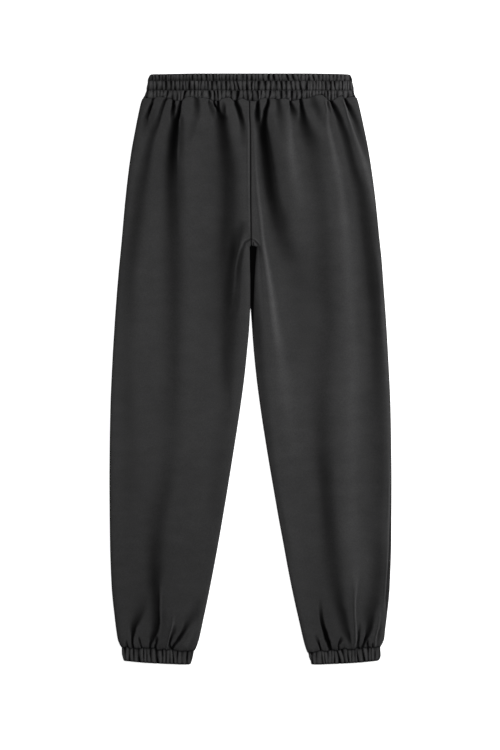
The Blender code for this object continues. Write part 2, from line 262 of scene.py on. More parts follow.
sideFolds = [
    # wearer's right leg, from the side to the centre
    [(-167.8, 43, 5, 1.6, 1.2), (-168.9, 49, 6, 1.8), (-169.7, 53, 8, 2.2, 1.3), (-170.9, 56, 9.4, 2.4),
     (-172.6, 61, 9.4, 2.6, 1.2), (-174.4, 66.5, 7.4, 3, 1.3), (-177.4, 73.5, 5.4, 3.4, 1.5),
     (-179.6, 80, 3, 4, 2.5), (-183.5, 96, 1, 4.5, 4.5), (-188, 112, 0)],
    [(-143.8, 42, 6.4, 1.6, 1.3), (-146.6, 46, 6.2, 2.2), (-147.8, 49, 6, 2.4), (-149.2, 53, 5.2, 2.7, 1.5),
     (-152.3, 61, 4.4, 2.8, 1.6), (-156.3, 73.5, 3.6, 3.1, 1.9), (-160, 84, 3.2, 3.8, 2.4),
     (-169.9, 106, 3, 4.8, 4), (-176.3, 130, 3, 5, 4.4), (-183, 167, 2.8, 6.4, 5.6), (-190, 201, 2.6, 8, 7),
     (-198, 253, 2.4, 8, 8.6), (-205, 305, 2.2, 10, 8), (-210, 357, 1.7, 13), (-211, 426, 1, 13, 9),
     (-214, 495, 0.7, 12), (-214, 564, 0.9), (-210, 640, 0.6, 12, 10), (-210, 720, 0.5), (-213, 800, 0)],
    [(-132.2, 44, 8, 1.7, 1.7), (-132.6, 49, 13), (-133.4, 53, 13, 1.5, 2.2), (-133.7, 56, 13, 1.5, 2.6),
     (-134.5, 61, 9.5, 1.8, 3), (-134.8, 66.5, 7, 2.2), (-134.8, 73.5, 5, 2.6), (-134, 84, 2),
     (-133.5, 95, 0)],
    [(-117.8, 42, 9, 1.8, 1.3), (-119.4, 46, 11, 2, 1.4), (-119.8, 49, 9.5, 1.8), (-120.8, 53, 9.5, 2.2),
     (-121.4, 56, 10, 2.4), (-122.2, 61, 12, 2.6, 1.6), (-123, 66.5, 15, 2.6, 1.8),
     (-124.6, 73.5, 15, 3.2, 2), (-126.6, 80, 14, 4.4, 2.3), (-130.8, 106, 13, 6.4, 3.8),
     (-133, 132, 11, 7.2, 3.9), (-135.3, 167, 7.2, 8.4, 6), (-137.4, 201, 4.9, 8.4, 9),
     (-135.2, 253, 4, 10, 8.8), (-135, 305, 2.9, 10.4, 11.6), (-134, 357, 2.6, 11, 11),
     (-134.3, 426, 2.2, 12), (-134.3, 495, 1.8, 11, 10), (-135, 564, 1.3, 12), (-140, 633, 0.9, 12, 12),
     (-146, 702, 1.4, 12, 9.5), (-159.5, 772, 1.9, 12, 9), (-166.4, 841, 3.2, 9), (-164.5, 880, 4.2, 9, 5),
     (-160.7, 905, 5, 8.5, 2.4), (-159.6, 930, 5.4, 8, 1.8), (-158.8, 944, 6, 7.5),
     (-160.8, 955, 6.8, 6.5, 2.2), (-162.2, 962, 6.9, 5.5, 2), (-164.8, 968.5, 7.2, 5, 1.6),
     (-168.7, 975.5, 6, 4, 2), (-171.3, 981, 6.8, 2.2, 1.3), (-173.2, 986, 6.5, 1.6), (-173.7, 994, 4.5)],
    [(-94, 42, 3.8, 3, 3), (-93, 53, 4, 3.8, 3.6), (-92.8, 61, 3, 4), (-93.4, 73.5, 1.8, 5, 4),
     (-97, 84, 1.2), (-103, 104, 0.7), (-110, 130, 0)],
    [(-71.8, 46.5, 2, 0.9, 1.2), (-72.6, 49, 3.2, 1, 2), (-72, 53, 2.9, 1.2, 3.6), (-71, 56, 2.6, 1.4, 4.2),
     (-69, 61, 2.6, 2.2, 4), (-65.6, 67, 2, 3.5), (-62.5, 74, 1.4), (-60, 84, 0.6), (-58, 96, 0)],
    [(-62.6, 44, 8, 1.2, 1.2), (-62.8, 49, 7.5, 1.2, 1), (-62.2, 53, 11, 1.1, 1.2),
     (-60.8, 56, 10, 1.2, 1.6), (-57.8, 60, 6, 1.6), (-55.4, 64, 2)],
    [(-56.4, 44, 9, 1.6, 1.3), (-56, 49, 10, 1.6, 1.4), (-55.8, 53, 9, 1.8), (-55.8, 56, 8.5, 1.8, 1.6),
     (-55.8, 61, 9, 2.4, 2.2), (-54.8, 66.5, 8.6, 3, 2.6), (-53, 73.5, 7.8, 3.6, 4),
     (-51, 80, 6.9, 5.6, 5.6), (-46.8, 106, 6.6, 8, 6.2), (-44.6, 128, 6, 8.4, 8),
     (-42.6, 150, 5.2, 9.4, 10), (-40, 175, 4.7, 10.2, 10.4), (-39.2, 201, 4.5, 10.4, 10),
     (-41.2, 253, 4.1, 10, 12), (-43.5, 305, 3.6, 11, 9), (-43, 357, 2.6, 11, 7), (-37, 426, 3.2, 12.5, 9),
     (-41.5, 495, 3, 8.6, 8.8), (-38, 564, 1.3, 11, 5), (-50, 633, 0.7, 12, 8), (-60, 702, 0.8, 10, 9),
     (-66, 790, 0.3), (-70, 850, 0)],
    [(-46.8, 53, 1.5, 3, 2.4), (-46.4, 57, 3), (-46, 61, 4.2, 3.4, 2.2), (-46.4, 66.5, 4.6, 3.4, 2.4),
     (-46.8, 73.5, 4.2, 4, 3.2), (-47, 82, 1.6, 4, 4), (-47.5, 92, 0)],
    [(-26.7, 44, 9, 2.6, 2), (-25.4, 49, 11, 2.2, 2.4), (-24.3, 53, 12, 2.6), (-23.1, 56, 11.5, 2.6, 2.6),
     (-21.1, 61, 11, 2.8, 2.8), (-19.5, 66.5, 10), (-17.6, 73.5, 8.4), (-15.9, 80, 6.6, 3, 3),
     (-14.2, 92, 3.6, 3.4, 3.4), (-13.6, 106, 1.6, 4, 4), (-12, 130, 0)],
    # wearer's left leg, from the centre to the side
    [(11.2, 43, 9, 2.2, 2), (12.8, 49, 10, 1.6, 1.6), (12.3, 53, 13, 2.2, 2.2), (12.1, 56, 13.5),
     (12, 61, 12.5, 2.6, 2.4), (11.8, 66.5, 11, 3.2, 2.8), (12, 73.5, 10, 3.4), (12.8, 80, 7.2, 3.8),
     (14, 92, 3.4, 4, 3.4), (17, 106, 1.2), (20, 122, 0)],
    [(30.6, 44, 7, 1.8, 1.6), (29.9, 49, 12.5, 1.5, 2), (29.1, 53, 13, 1.6, 2.4), (27.9, 56, 13, 1.8, 2.6),
     (26.4, 61, 14, 2.1, 2.5), (25.2, 66.5, 15, 2.5, 2.6), (24.3, 73.5, 14, 2.4, 2.7),
     (23.6, 80, 13.5, 3.1, 2.8), (23.5, 92, 14.5, 5.1, 3.3), (23.8, 106, 14.5, 5.8, 4.5),
     (27.2, 132, 12.5, 7, 5.2), (31.4, 167, 10.6, 8.2, 6.2), (35.6, 201, 9.2, 8.2, 6.6),
     (40.4, 228, 6.8, 8.2, 7.4), (45.2, 253, 4.9, 9, 11), (62.5, 305, 2.3, 11, 10), (80, 350, 0.8, 14, 14),
     (92, 420, 0.6, 16, 16), (98, 500, 0)],
    [(46.6, 45, 3.4, 3, 3), (47.4, 53, 3.6, 3, 3.4), (48.4, 61, 3.4, 3.4, 4), (49.6, 73.5, 2.2, 4.4, 4.6),
     (51, 92, 1), (51.5, 106, 0.5), (52, 120, 0)],
    [(68.6, 44, 8, 1.2, 1.4), (68.4, 49, 9, 1.2, 1.6), (68.6, 53, 8.4, 1.3, 2.4), (69.6, 56, 7.4, 1.5, 2.8),
     (71, 61, 6.6, 2.4, 3.6), (73.2, 66.5, 5, 3.4, 4.2), (75.2, 73.5, 2.4, 4.2), (79, 82, 1, 4, 4),
     (84, 92, 0)],
    [(85.6, 43, 8, 1.8, 2), (86.4, 49, 9.5, 1.8, 2.2), (87.2, 53, 10.2, 2), (87.6, 56, 11.2, 2.2),
     (88.4, 61, 9.8, 2.8, 2.4), (89.5, 66.5, 8.8, 3.1, 2.9), (90, 73.5, 8.2, 3.8, 3.6),
     (91, 80, 7.2, 4.8, 4.4), (94.4, 92, 6, 7.2, 5.4), (98.6, 106, 4.8, 8.2, 8), (107, 132, 2.7, 10, 11.5),
     (111, 167, 1.9, 11, 12), (117.5, 201, 1.7, 11.5, 9.4), (123.5, 253, 1.6, 13, 9.6), (127, 305, 1.6, 14),
     (125.6, 357, 1.9, 15, 12), (133, 426, 1.7, 11.5, 10), (128.5, 495, 1.3, 17, 13),
     (122.7, 564, 2, 14, 12), (122.3, 633, 2.4, 11, 13.4), (128.4, 702, 3.5, 9.8, 9.2),
     (133, 772, 3.6, 9.2, 10), (140.6, 841, 2.9, 11), (149, 892, 3.2, 8.4, 7), (153.2, 917, 3.9, 7, 5.4),
     (157.6, 930.5, 4.2, 6.2, 4.8), (160.4, 944, 4.2, 6, 4.6), (163.2, 955, 4, 5.8, 4.2),
     (165.4, 962, 4, 5.2, 3.8), (168.4, 968.5, 4.2, 4.6, 2.6), (170.2, 975.5, 3.6, 3.2, 1.8),
     (171, 981, 2, 2.6, 2), (172, 987, 0.4)],
    [(106.5, 43, 2.4, 4, 4), (109.6, 53, 3.2, 5, 4.8), (113.6, 61, 2.8, 4.5, 4.5), (116, 66.5, 2.4),
     (118.4, 73.5, 1.8), (124, 84, 0.6), (127, 94, 0)],
    [(132.6, 49, 2, 1.2, 1.2), (133, 53, 2.8, 1.2, 1.4), (133.8, 56, 2.6), (135.2, 61, 1.6),
     (137, 66.5, 0.8), (138, 71, 0)],
    [(135.8, 43.5, 7, 2.2, 1.6), (139, 49, 13, 1.2, 2), (140.3, 53, 14, 1.2, 2.4), (141.6, 56, 12, 1.4, 3),
     (144.6, 61, 9, 2.2, 3.2), (147.4, 66.5, 7.6, 2.8), (150.8, 73.5, 7.4, 3), (153.8, 80, 6.6, 3.6, 3.3),
     (156.4, 89, 5.6, 4, 3.6), (162.8, 106, 4.8, 4.6, 4), (169, 130, 4.2, 5, 4.2),
     (178.2, 167, 4.1, 5.6, 5), (189.6, 201, 3.7, 7.4, 5.8), (196.2, 253, 3.8, 7.6, 7.4),
     (203.6, 305, 4, 9), (210.6, 357, 4.4, 10.4, 8), (216.2, 426, 3.5, 9.4, 6.2),
     (218.2, 495, 2.8, 10, 6.4), (219.6, 564, 2.1, 12, 7.4), (223, 633, 1.8, 15, 6), (223.2, 702, 1.8, 14),
     (219.6, 772, 1.4, 14, 7.6), (220.2, 841, 2.4, 10, 7), (216, 892, 2.5, 10, 7.6),
     (212.6, 917, 3.2, 10, 5.6), (208.6, 930.5, 3.6, 9.5, 4.6), (207, 944, 4.8, 6.4, 3.8),
     (205.6, 955, 5.8, 4.6, 3), (203.5, 962, 6.2, 3.8), (200.8, 968.5, 7.2, 2.2, 2.8),
     (197.6, 975.5, 10, 1.3, 2), (195.8, 981, 9, 1.2, 1.7), (194.1, 986, 5.4, 1.3, 1.3), (191.8, 993, 6)],
    [(161.8, 43, 7, 1, 1.6), (163.8, 49, 11, 0.9, 2.2), (165.2, 53, 11.5, 0.9, 2.6),
     (166.7, 56, 10.5, 1, 3), (169, 61, 7.4, 1.2, 3.6), (172, 66.5, 5.6, 1.6, 3.7),
     (175.4, 73.5, 4.6, 1.8, 3.8), (179, 80, 3.6, 2.4, 3.6), (188.6, 106, 1.6, 3.4, 3.8), (199, 132, 0.7),
     (206, 152, 0)],
]

sideRidges = [
    [(62, 56, 0, 3, 2.4), (65, 74, -0.9, 4, 3), (67, 92, -1.3, 5, 3.4), (68, 106, -1.6, 5.4, 3.2),
     (68.6, 130, -1.7, 6, 5), (73.5, 167, -1.5, 6.8, 7.4), (79, 201, -0.9, 8, 8), (86, 250, 0)],
    [(129.4, 47, -1, 0.9, 0.9), (129.6, 50, -2), (129.8, 53, -2.4), (130.8, 56, -2.4), (131.6, 61, -1.6),
     (132.2, 67, -1, 2, 1.4), (132.6, 84, -1.2, 3.2, 1.8), (136.2, 106, -1.6, 4, 2.8),
     (141.2, 130, -1.8, 4.2, 3.4), (149, 167, -1.5, 6, 5.4), (154.6, 201, -1.5, 6, 5),
     (161, 253, -1.6, 8, 7), (165, 305, -1.3, 9, 9), (168.5, 357, -1.3, 8, 10), (172, 426, -1.1, 10, 8),
     (176, 495, -1.1, 11, 9), (174, 564, -1.1, 11, 10), (174, 633, -0.9, 10, 9), (173, 702, -0.8),
     (173, 772, -0.8), (179, 836, -0.6), (182, 886, -1.2, 3.4, 2), (180.4, 914, -2, 1.8, 1.2),
     (180.4, 930, -2.2, 1.6, 1.1), (181.2, 944, -2, 1.8, 1), (182, 955, -2.4, 1.8, 0.9), (182.4, 975, -2.6),
     (182, 981, -2.2), (180.6, 986, -1.8), (178.5, 993, -0.8)],
    [(159.4, 46, -1, 1.6, 0.9), (160.8, 50, -1.8), (162.2, 53, -2.2), (163.2, 56, -2), (165, 61, -2.2),
     (166.4, 66.5, -2.3), (168, 73.5, -2.4), (171.4, 82, -2.3, 2.2, 1), (179.4, 106, -2.2, 3.2, 1.6),
     (187.8, 130, -2.3, 4, 2.4), (198.6, 165, -2.1, 4.6, 4), (207.4, 201, -1.4), (214, 236, -0.6),
     (217, 256, 0)],
    [(212, 290, 0, 4, 4), (220.5, 322, -0.9, 4, 3), (226, 380, -1.2, 4, 3.5), (230, 443, -1.5, 4.5),
     (235, 500, -1.1), (238, 564, -0.7), (240, 640, -0.5), (240.5, 690, -1, 2.5, 2), (240, 740, -1.5),
     (238.5, 780, -1.1, 3, 1.6), (237, 841, -1.8, 2.6), (235, 870, -2.2, 2.2, 1.5), (233, 895, -1.4),
     (230, 935, 0)],
    [(-3.4, 52, -0.4, 2, 1.5), (-3.4, 80, -0.8), (-3.4, 130, -1.1), (-3, 190, -0.8), (-2.6, 250, -0.5),
     (-2.6, 282, 0)],
    [(7, 54, -0.3, 2.4, 2), (7.5, 100, -0.5), (9, 150, -0.8, 2.2), (12.2, 201, -1.3, 2.2, 2.2),
     (17.9, 253, -1.6, 2.3, 2.4), (21, 284, -1.9, 2.6, 2.3), (23.6, 305, -2.4, 2.6, 2.8),
     (31.4, 357, -2.6, 3.6, 3.8), (40.2, 426, -2.4, 4.6, 5.4), (51, 495, -1.3, 8, 8),
     (61, 564, -0.9, 10, 10), (71, 633, -0.5), (80, 700, 0)],
]

crotchFolds = [
    [(-14, 250, 0, 5, 5), (-15.4, 260, 1.6, 5.5), (-18, 270, 2.6, 6), (-19.2, 277, 2.8, 6, 4.2),
     (-21, 284, 3.2, 6, 3.6), (-22.6, 291, 2.8, 5.5, 3.4), (-23.6, 298, 2.4, 5, 3.2), (-25, 305, 2.2, 5, 3),
     (-27, 318, 1.4), (-30, 335, 0)],
    [(-30, 262, 0, 4, 4), (-30.5, 284, 2, 4, 4.6), (-30.6, 305, 4.2, 4.8), (-32.8, 330, 4, 5, 4.2),
     (-34, 357, 3.6, 6), (-35, 392, 2, 7, 6), (-36, 420, 0.4), (-36, 440, 0)],
    [(-5, 284, -0.3, 1.6, 1.6), (-10.8, 287.5, -0.5), (-14.4, 291.5, -0.7), (-16.8, 298, -0.7),
     (-19.2, 305, -0.6), (-22, 315, -0.5), (-24, 326, -0.5, 1.8, 1.8), (-25.6, 340, -0.5, 2, 2),
     (-27.2, 357, -0.6), (-30, 384, -0.6), (-35, 412, -0.4), (-42, 445, 0)],
    [(0.5, 285.6, 2, 1.4, 1.4), (-5, 288.5, 2.2), (-10, 292, 2.2, 1.8, 1.8), (-12, 298, 2.4, 2, 2.2),
     (-15.6, 305, 2.8, 2.2, 2.6), (-17.8, 315, 3.4, 2.4, 3), (-20.2, 326, 3.8, 2.4, 3.2),
     (-22, 340, 3.4, 2.8, 3.6), (-22.4, 357, 2.8, 3.4), (-24, 390, 1.6, 3.6), (-27, 424, 0)],
    [(3, 283.6, -0.6, 1.4, 1.4), (8, 286.6, -0.9), (12.5, 291.5, -0.9), (16, 299, 0)],
    [(5, 287, 1.2, 1.2, 1.2), (9.5, 290.5, 2.4), (13.5, 296, 2.2), (15.5, 306, 1.4, 2, 2), (17, 330, 0.8),
     (20, 380, 0.4), (24, 430, 0)],
    [(3.4, 288.5, 0, 0.9, 0.9), (4.4, 292, 2), (5, 297, 3)],
    [(2.4, 289, -0.6, 1, 1), (2.7, 293, -1.2), (2.9, 297, -1.4)],
    [(6.2, 289.5, -0.5, 0.9, 1), (7, 293, -1.1), (7.6, 297, -1.3)],
    # the inner edge of the wearer's left leg turns down
    [(8, 345, 0, 4, 4), (8, 391, 1.4, 5, 5), (8.6, 426, 3.2, 6, 5.5), (9.2, 443, 3.2, 6, 6.5),
     (13.2, 495, 2.1), (20, 564, 1.8), (24.4, 599, 1.7, 6, 6), (41, 702, 0.9, 5, 4), (55, 772, 0.9, 4, 3.5),
     (72, 860, 0)],
]

ankleFolds = [
    # wearer's right leg
    [(-154.5, 880, 0, 1.4, 1.2), (-154.2, 910, -0.35), (-154, 930, -0.35), (-154.6, 948, -0.2),
     (-157, 958, 0)],
    [(-151, 880, 0, 2, 5), (-151.2, 917, 0.5, 2, 4), (-151.4, 944, 0.7), (-152.5, 962, 0.5),
     (-154, 975, 0)],
    [(-183, 892, 0, 7, 5), (-185.8, 917, 1.4, 8), (-190, 930.5, 2.4, 7, 4), (-196, 944, 4.2, 6, 3.4),
     (-200.5, 955, 6, 4.6, 2.4), (-201.8, 962, 7.6, 3.4, 2.2), (-203.2, 968.5, 8.4, 2.2, 1.8),
     (-204.2, 975.5, 9, 1.3, 1.5), (-204, 981, 8.6, 1.3, 1.3), (-203, 988, 6.8, 1.5), (-201.6, 994, 5.6)],
    [(-193.4, 970, 0, 1.3, 1.3), (-192.4, 975.5, 2.2, 1.2, 1.6), (-190.7, 980.6, 3.8, 1.3, 1.3),
     (-189.2, 986, 3.2, 1.3, 1.1), (-186.8, 993, 2.8)],
    [(-215, 976, 0, 1.6, 1.6), (-214.2, 981, 2, 1.4, 1.4), (-213, 986, 3), (-211.2, 992, 3.8)],
    [(-161.8, 969, 0, 1.5, 2), (-162.6, 975.5, 3.8, 1.6, 2.2), (-162.6, 981, 5.6, 1.1, 1.6),
     (-164.2, 986, 5.6, 1.2, 1.4), (-164.4, 991, 6.6, 1.4), (-164, 996, 6.2)],
    [(-131.5, 930, 0, 2.4, 2), (-133.2, 944, -1.2, 2), (-135, 955, -1.9, 1.6, 1.3),
     (-136.9, 962, -2.2, 1.5, 1), (-138.9, 968.5, -1.8, 1.4, 0.9), (-140.6, 975.5, -1.4, 1.3),
     (-142, 981, -1.6), (-143.6, 987, -1.4), (-145, 993, -0.6)],
    [(-130, 950, 0, 2, 3), (-131.9, 955, 1), (-133, 962, 2.4, 2, 2.6), (-136.1, 968.5, 3.6, 1.4, 2.2),
     (-138.3, 975.5, 5.6, 1.2, 1.8), (-139.5, 981, 6.6, 1.3, 1.4), (-139.9, 986, 4.8, 1.4),
     (-136, 992, 5.2)],
    [(-86, 903, 0, 6, 6), (-92, 917, 1.2), (-97, 930.5, 1.6), (-105.8, 944, 2.2, 5, 4.4),
     (-112.7, 955, 4.2, 2.6, 3), (-116.2, 962, 5.2, 2.2, 2.6), (-119.9, 968.5, 7, 2, 2.2),
     (-124.7, 975.5, 8.2, 1.8, 2.4), (-128.3, 981, 7, 1.6, 1.7), (-132.3, 986, 7.4, 1.6, 1.6),
     (-135, 992, 5.8, 1.5, 1.5)],
    [(-92, 947, 0, 4, 3), (-102, 968, -0.6), (-112, 986, -0.9)],
    # wearer's left leg
    [(119, 905, 0, 2, 2.4), (119.8, 917, 1, 2, 2.6), (120.6, 930.5, 3.2, 1.9, 2.4), (122.4, 944, 7),
     (125.2, 955, 12, 2, 2.3), (127.8, 962, 16, 2.3), (130, 968.5, 19, 2.6, 2.2),
     (132.3, 975.5, 19, 2.8, 2.1), (134.5, 981, 17, 2.5), (135.9, 986, 14, 2.5, 1.9),
     (137.8, 992, 9, 2.4, 1.7), (139.5, 998, 8)],
    [(111.5, 966, 0, 3, 2.4), (114, 975.5, 1.8, 2.4, 2.2), (117.2, 981, 4, 1.8, 1.6),
     (118.6, 986, 8.4, 1.2, 1.2), (120.6, 992, 6.4), (122, 1000, 4)],
    [(157, 970, 0, 1.4, 3), (155, 975.5, 2.6, 1.5), (153.2, 981, 5, 1.4, 1.8), (151.6, 986, 5, 1.1, 1.1),
     (151.6, 998, 2.6)],
    [(187, 945, 0, 1.4, 3), (186.4, 955, 1.4, 1.2), (186.2, 962, 2.8, 1.1, 2),
     (186.2, 968.5, 4.2, 1.1, 1.7), (186, 975.5, 4.6, 1.2, 1.6), (185.1, 981, 5), (184.7, 986, 4),
     (187, 993, 5, 1.6)],
    [(201.4, 974, 0, 1.4, 1.4), (201.4, 981, 4, 1.5, 1.5), (202, 986, 5.6, 1.2, 1.2), (204, 993, 5)],
    [(210.4, 981, 0, 1, 1), (210.6, 986, 3.4), (211.4, 993, 3)],
    [(224, 925, 0, 1.6, 1.4), (221, 955, -1.5, 1.3, 1), (219, 962, -1.7), (217.2, 968.5, -1.7),
     (216, 975.5, -2.2), (215.6, 981, -2.2), (214.6, 990, -1.2)],
    [(224, 940, 0, 1.6, 1.6), (223.4, 955, 1.4), (222, 962, 1.8), (220.8, 968.5, 1.8), (219.8, 975.5, 1.4),
     (219, 983, 0.5)],
]

broadFolds = [  # low hollows and swells of cloth that lies on itself
    [(-119.2, 70, 0, 1.2, 2), (-120, 77, 1.8, 1.2, 3), (-120.6, 89, 2.3, 1.5, 4), (-121.4, 106, 2, 2, 4.5),
     (-122.2, 124, 2, 1.8, 4.6), (-122.8, 150, 1.2, 2), (-120, 184, 0.9, 4, 5), (-119, 219, 0.5),
     (-118, 250, 0)],
    [(30, 66, 0, 3, 6), (30.5, 76, 0.9, 2.4), (34, 106, 1, 4, 8), (40, 124, 1.1, 5), (46, 150, 1, 6, 9),
     (51, 184, 0.8, 7), (58, 225, 0.4), (66, 270, 0)],
    [(-170, 56, 0, 3, 6), (-171, 66, 1, 3, 7), (-172.5, 80, 1, 3.5, 6), (-174, 92, 0.7, 3, 5),
     (-177, 104, 0)],
    [(-165, 45, 0.6, 40, 32), (-165, 110, 0.75), (-165, 170, 0.5), (-160, 230, 0.2), (-160, 290, 0)],
    [(-62, 60, 0.5, 18, 14), (-64, 190, 0.7), (-66, 260, 0.35), (-66, 330, 0.65), (-68, 440, 0.55),
     (-72, 500, 0.2), (-76, 560, 0)],
    [(-22, 290, 0, 16, 10), (-22, 331, 0.7), (-24, 400, 0.6), (-32, 440, 0.6), (-38, 500, 0.3),
     (-42, 560, 0)],
    [(-150, 640, 0, 90, 60), (-150, 700, 0.35), (-150, 780, 0.45), (-150, 815, 0.75), (-150, 860, 0.95),
     (-150, 918, 0.85), (-158, 952, 1, 60), (-158, 996, 1.2)],
    [(96, 250, 0, 20, 16), (98, 310, 0.3), (98, 360, 0.15), (94, 430, 0.1), (88, 520, 0)],
    [(176, 45, 0.4, 26, 22), (180, 124, 0.55), (186, 193, 0.45), (188, 296, 0.35), (190, 400, 0.3),
     (192, 540, 0.2), (192, 620, 0)],
    [(118, 640, 0, 22, 18), (116, 700, 0.35), (112, 746, 0.4), (112, 790, 0.65), (122, 830, 0.75),
     (128, 884, 0.8), (132, 918, 0.6), (136, 955, 0.2), (140, 985, 0)],
    [(160, 880, 0, 60, 60), (160, 952, 0.8), (160, 996, 1)],
]

frontFolds = sideFolds + sideRidges + crotchFolds + ankleFolds + broadFolds

backFolds = [  # grooves up into the cloth that lies on the ground, fanning out from the gathers
    [(-150, 45, 1.5, 3.4, 3.4), (-158, 90, 1.2, 4.8, 4.8), (-166, 150, 0, 6.1, 6.1)],
    [(-112, 46, 1.6, 3, 4.2), (-109, 110, 1.5, 4.2, 5.9), (-104, 190, 1.1, 5.4, 7.6),
     (-100, 300, 0, 6.6, 9.2)],
    [(-66, 45, 1.4, 3, 3), (-62, 80, 1.2, 4.2, 4.2), (-55, 130, 0, 5.4, 5.4)],
    [(-20, 47, 1.6, 3.4, 3), (-24, 110, 1.4, 4.5, 4), (-33, 180, 0.8, 5.7, 5), (-40, 240, 0, 6.8, 6)],
    [(17, 46, 1.5, 3, 3.6), (22, 90, 1.2, 4.2, 5), (28, 150, 0, 5.4, 6.5)],
    [(61, 46, 1.6, 3, 3), (64, 120, 1.4, 4, 4), (72, 210, 1, 5, 5), (78, 320, 0, 6, 6)],
    [(103, 45, 1.4, 3.2, 3), (108, 90, 1.1, 4.5, 4.2), (117, 140, 0, 5.8, 5.4)],
    [(149, 46, 1.6, 3, 3.8), (157, 100, 1.3, 4.2, 5.3), (169, 170, 0, 5.4, 6.8)],
    [(-171, 995, 1.5, 3, 3), (-168, 950, 1.3, 3.6, 3.6), (-163, 890, 0.8, 4.2, 4.2),
     (-160, 800, 0, 4.8, 4.8)],
    [(-206, 993, 1.4, 2.4, 2.4), (-202, 965, 1, 3.1, 3.1), (-195, 930, 0, 3.8, 3.8)],
    [(-130, 997, 1.5, 2.6, 2.6), (-125, 960, 1.1, 3.4, 3.4), (-116, 915, 0, 4.2, 4.2)],
    [(168, 995, 1.5, 3, 3), (163, 945, 1.3, 3.6, 3.6), (157, 880, 0.7, 4.2, 4.2), (152, 790, 0, 4.8, 4.8)],
    [(207, 993, 1.4, 2.4, 2.4), (204, 962, 1, 3.1, 3.1), (198, 925, 0, 3.8, 3.8)],
    [(133, 997, 1.5, 2.6, 2.6), (127, 958, 1.1, 3.4, 3.4), (119, 910, 0, 4.2, 4.2)],
    [(0, 300, 0, 5, 5), (-14, 350, 1.2, 6, 6), (-34, 395, 1, 7, 7), (-58, 425, 0, 8, 8)],
    [(0, 300, 0, 5, 5), (15, 352, 1.2, 6, 6), (36, 398, 1, 7, 7), (60, 430, 0, 8, 8)],
]


def backLift(x, drop):
    # height of the back panels' ground side
    highest = 1.7
    return highest * np.tanh(np.maximum(foldField(x, drop, backFolds), 0) / highest)


def addPiece(name, points, faces, weave, material, paintedLight=None, girth=None):
    bm = bmesh.new()
    verts = [bm.verts.new(point) for point in (np.asarray(points) * mm).tolist()]
    for face in faces:
        bm.faces.new([verts[i] for i in face])
    bmesh.ops.recalc_face_normals(bm, faces=bm.faces)
    mesh = bpy.data.meshes.new(name)
    bm.to_mesh(mesh)
    bm.free()
    # painted shade and highlights, kept on the mesh as a point attribute
    if paintedLight is not None:
        layer = mesh.attributes.new("paintedLight", "FLOAT", "POINT")
        layer.data.foreach_set("value", np.asarray(paintedLight, np.float32))
    corners = np.zeros(len(mesh.loops), np.int32)
    mesh.loops.foreach_get("vertex_index", corners)
    places = np.asarray(weave)[corners]
    if girth is not None:  # the last column of a ring runs on to the first
        around = places[:, 0].reshape(-1, 4)
        girths = girth[corners].reshape(-1, 4)
        around += girths * (around.max(axis=1, keepdims=True) - around > girths / 2)
    uvLayer = mesh.uv_layers.new(name="weave")  # metres along and across the knit
    uvLayer.data.foreach_set("uv", (places * mm).astype(np.float32).ravel())
    mesh.materials.append(material)
    mesh.shade_smooth()
    mesh.set_sharp_from_angle(angle=math.radians(75))
    piece = bpy.data.objects.new(name, mesh)
    bpy.context.scene.collection.objects.link(piece)
    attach(piece, "root")
    return piece


def gridFaces(ids):
    a, b = ids[:-1, :-1].ravel(), ids[:-1, 1:].ravel()
    c, d = ids[1:, 1:].ravel(), ids[1:, :-1].ravel()
    return np.column_stack([a, b, c, d]).tolist()


def joinBorders(fine, coarse):
    # three triangles join each coarse edge to the two fine edges that it faces
    faces = []
    for k in range(len(coarse) - 1):
        a, b, c = fine[2 * k], fine[2 * k + 1], fine[2 * k + 2]
        faces += [[a, b, coarse[k]], [b, coarse[k + 1], coarse[k]], [b, c, coarse[k + 1]]]
    return faces


def wallFaces(shape):
    # a closed wall: a fine grid for the outer surface, one of half as many steps for the inner
    outer = np.arange(shape[0] * shape[1]).reshape(shape)
    half = outer[::2, ::2].shape
    inner = outer.size + np.arange(half[0] * half[1]).reshape(half)
    faces = gridFaces(outer) + gridFaces(inner)
    for edge in (0, -1):
        faces += joinBorders(outer[edge], inner[edge])
        faces += joinBorders(outer[:, edge], inner[:, edge])
    return faces


def paintedShading(hollow):
    # painted shade in hollows and painted highlight on ridges, as a factor on the colour
    darkest, lightest, fall = 0.02, 1.7, 0.25
    return np.clip(np.exp(-fall * hollow), darkest, lightest)


def pinchesAt(q, start, period, seed):
    # the small pinches that a row of stitches makes, 0 to 1
    pinchWidth = 1.9
    count = round(period / pinchWidth)
    depths = np.random.default_rng(seed).uniform(0, 1, count)
    place = (q - start) / period * count
    k = np.floor(place).astype(int)
    return lerp(depths[k % count], depths[(k + 1) % count], ease(place - k)) ** 2


